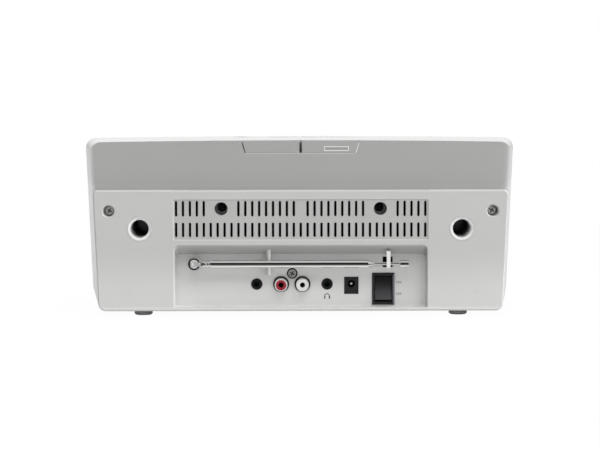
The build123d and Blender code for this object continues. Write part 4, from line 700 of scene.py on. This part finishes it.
# Marks on the keys and the dial
power = middle("power_key")
power_top = corners("power_key")[1].z
power_sign = [band(2.1, 0.45, 115, 425), bar(-0.22, 0.6, 0.22, 3.0)]
add_mark(
    "mark_power", power_sign, (power.x, power.y, power_top), (0, 1, 0), UP, print_ink, "power",
)
key_signs = {
    "menu": [bar(-1.6, rise - 0.22, 1.6, rise + 0.22) for rise in (-1.1, 0, 1.1)],
    "back": [[(-1.7, 0), (1.3, -1.5), (1.3, 1.5)]],
    "info": [bar(-0.28, -1.6, 0.28, 0.5), bar(-0.28, 1.0, 0.28, 1.6)],
    "select": [disc(1.3)],
}
for body, outlines in key_signs.items():
    key = middle(body + "_key")
    face_y = corners(body + "_key")[0].y
    add_mark(
        "mark_" + body, outlines, (key.x, face_y, key.z), UP, FRONT_OUT, print_ink, body
    )
DOT_RADIUS = 1.1
DOT_FROM_CENTRE = 11.0
DOT_SINK = 1.0
dial = middle("tuning_dial")
dial_face_y = corners("tuning_dial")[0].y
add_mark(
    "dial_mark", [disc(DOT_RADIUS)], (dial.x, dial_face_y + DOT_SINK, dial.z + DOT_FROM_CENTRE), UP,
    FRONT_OUT, print_ink, "dial",
)


# Camera at the place that the photograph was taken from
CAMERA_BEHIND = 1250.0
CAMERA_HEIGHT = 150.0
CAMERA_ASIDE = 8.0
CAMERA_PITCH = 4.13
CAMERA_YAW = 179.65
CAMERA_ROLL = 0.08
camera_data = bpy.data.cameras.new("camera")
camera_data.lens = 115.74
camera_data.sensor_width = 36.0
camera_data.clip_end = 20.0
camera = bpy.data.objects.new("camera", camera_data)
bpy.context.scene.collection.objects.link(camera)
camera.location = Vector((CAMERA_ASIDE, REAR_Y + CAMERA_BEHIND, CAMERA_HEIGHT)) * MM
camera.rotation_euler = [math.radians(angle) for angle in (90 - CAMERA_PITCH, CAMERA_ROLL, CAMERA_YAW)]
bpy.context.scene.camera = camera


# Studio, in metres
WHITE = (1, 1, 1)
LAMPS_AIM_AT = (0, 0, 0.06)


def add_lamp(name, place, size, watts, colour=WHITE):
    """Soft rectangular lamp that looks at the object, and that metal doesn't mirror."""
    data = bpy.data.lights.new(name, "AREA")
    data.shape = "RECTANGLE"
    data.size, data.size_y = size
    data.energy = watts
    data.color = colour
    lamp = bpy.data.objects.new(name, data)
    bpy.context.scene.collection.objects.link(lamp)
    lamp.location = place
    lamp.rotation_euler = (Vector(LAMPS_AIM_AT) - Vector(place)).to_track_quat("-Z", "Y").to_euler()
    lamp.visible_glossy = False


add_lamp("lamp_top", place=(0, -0.05, 1.15), size=(1.3, 0.8), watts=8.4)
add_lamp("lamp_rear", place=(-0.2, 1.1, 1.1), size=(1.2, 0.6), watts=6.0)
add_lamp("lamp_low", place=(0, 1.5, 0.22), size=(1.6, 0.4), watts=3.2)
add_lamp("lamp_right", place=(-1.15, 0.35, 0.45), size=(0.6, 0.8), watts=1.9, colour=(0.98, 0.995, 1.0))
add_lamp("lamp_left", place=(1.15, 0.35, 0.45), size=(0.6, 0.8), watts=0.6, colour=(1.0, 0.975, 0.94))
add_lamp("lamp_front", place=(0.3, -1.3, 0.8), size=(0.9, 0.7), watts=6)


def add_background(tree, grey):
    """Background shader of one grey, and its node."""
    background = tree.nodes.new("ShaderNodeBackground")
    background.inputs["Color"].default_value = (grey, grey, grey, 1)
    return background


def mix_shaders(tree, share, first, second):
    """Mix of two shaders by a share."""
    mix = tree.nodes.new("ShaderNodeMixShader")
    tree.links.new(share, mix.inputs["Fac"])
    tree.links.new(first, mix.inputs[1])
    tree.links.new(second, mix.inputs[2])
    return mix.outputs["Shader"]


def make_world():
    """White background, with a narrow dark strip in what metal reflects, and a plain level of light."""
    ambient_at_right = 0.46
    ambient_at_left = 0.14
    world = bpy.data.worlds.new("studio")
    bpy.context.scene.world = world
    world.use_nodes = True
    tree = world.node_tree
    tree.nodes.clear()
    direction = add_split(tree, "Generated")

    # Light on the object, stronger from the side of -X, which is the right of the photo
    ambient = add_background(tree, 1.0)
    strength = add_step(tree, direction["X"], -0.8, 0.8, ambient_at_right, ambient_at_left)
    tree.links.new(strength, ambient.inputs["Strength"])

    # What metal reflects: pale grey, with a dark strip behind the object that ends short of the top
    mirrored = add_background(tree, 0.8)
    not_high = add_step(tree, direction["Z"], 0.5, 0.88, 1.0, 0.0)
    behind = add_step(tree, direction["Y"], 0.0, 0.4)
    narrow = add_step(tree, add_math(tree, "ABSOLUTE", direction["X"]), 0.12, 0.4, 1.0, 0.0)
    strip = add_product(tree, not_high, behind, narrow)
    tree.links.new(add_range(tree, strip, 0.95, 0.03), mirrored.inputs["Strength"])

    white = add_background(tree, 1.0)
    ray = tree.nodes.new("ShaderNodeLightPath").outputs
    mirror_ray = add_math(tree, "MAXIMUM", ray["Is Glossy Ray"], ray["Is Transmission Ray"])
    unseen = mix_shaders(tree, mirror_ray, ambient.outputs["Background"], mirrored.outputs["Background"])
    surface = mix_shaders(tree, ray["Is Camera Ray"], unseen, white.outputs["Background"])
    tree.links.new(surface, tree.nodes.new("ShaderNodeOutputWorld").inputs["Surface"])


def make_floor():
    """Large pale floor that the camera sees as white, with a faint shadow and the dark strip for metal."""
    pale = (0.96, 0.96, 0.96)
    strip_grey = (0.06, 0.06, 0.06)
    white_share_near = 0.97
    bpy.ops.mesh.primitive_plane_add(size=12, location=(0, 0, 0))
    floor = bpy.context.object
    floor.name = "floor"
    material, tree, shader = new_material("floor_white", pale, 0.9)
    place = add_split(tree, "Object")
    ray = tree.nodes.new("ShaderNodeLightPath").outputs

    # Glow of the floor: white, with a dark strip behind the object in what metal reflects
    behind = add_step(tree, place["Y"], 0.075, 0.115)
    narrow = add_step(tree, add_math(tree, "ABSOLUTE", place["X"]), 0.1, 0.35, 1.0, 0.0)
    strip = add_product(tree, behind, narrow, ray["Is Glossy Ray"])
    glow = tree.nodes.new("ShaderNodeEmission")
    glow.inputs["Strength"].default_value = 1.0
    tree.links.new(add_blend(tree, strip, WHITE, strip_grey), glow.inputs["Color"])

    # The glow takes over from the pale floor, all of it away from the object and nearly all of it close by
    coordinate = tree.nodes.new("ShaderNodeTexCoord")
    distance = tree.nodes.new("ShaderNodeVectorMath")
    distance.operation = "LENGTH"
    tree.links.new(coordinate.outputs["Object"], distance.inputs[0])
    white_share = add_step(tree, distance.outputs["Value"], 0.25, 0.9, white_share_near, 1.0)
    seen = add_math(tree, "MAXIMUM", ray["Is Camera Ray"], ray["Is Glossy Ray"])
    share = add_product(tree, seen, white_share)
    surface = mix_shaders(tree, share, shader.outputs["BSDF"], glow.outputs["Emission"])
    tree.links.new(surface, tree.nodes["Material Output"].inputs["Surface"])
    floor.data.materials.append(material)


make_world()
make_floor()
bpy.context.scene.view_settings.view_transform = "Standard"
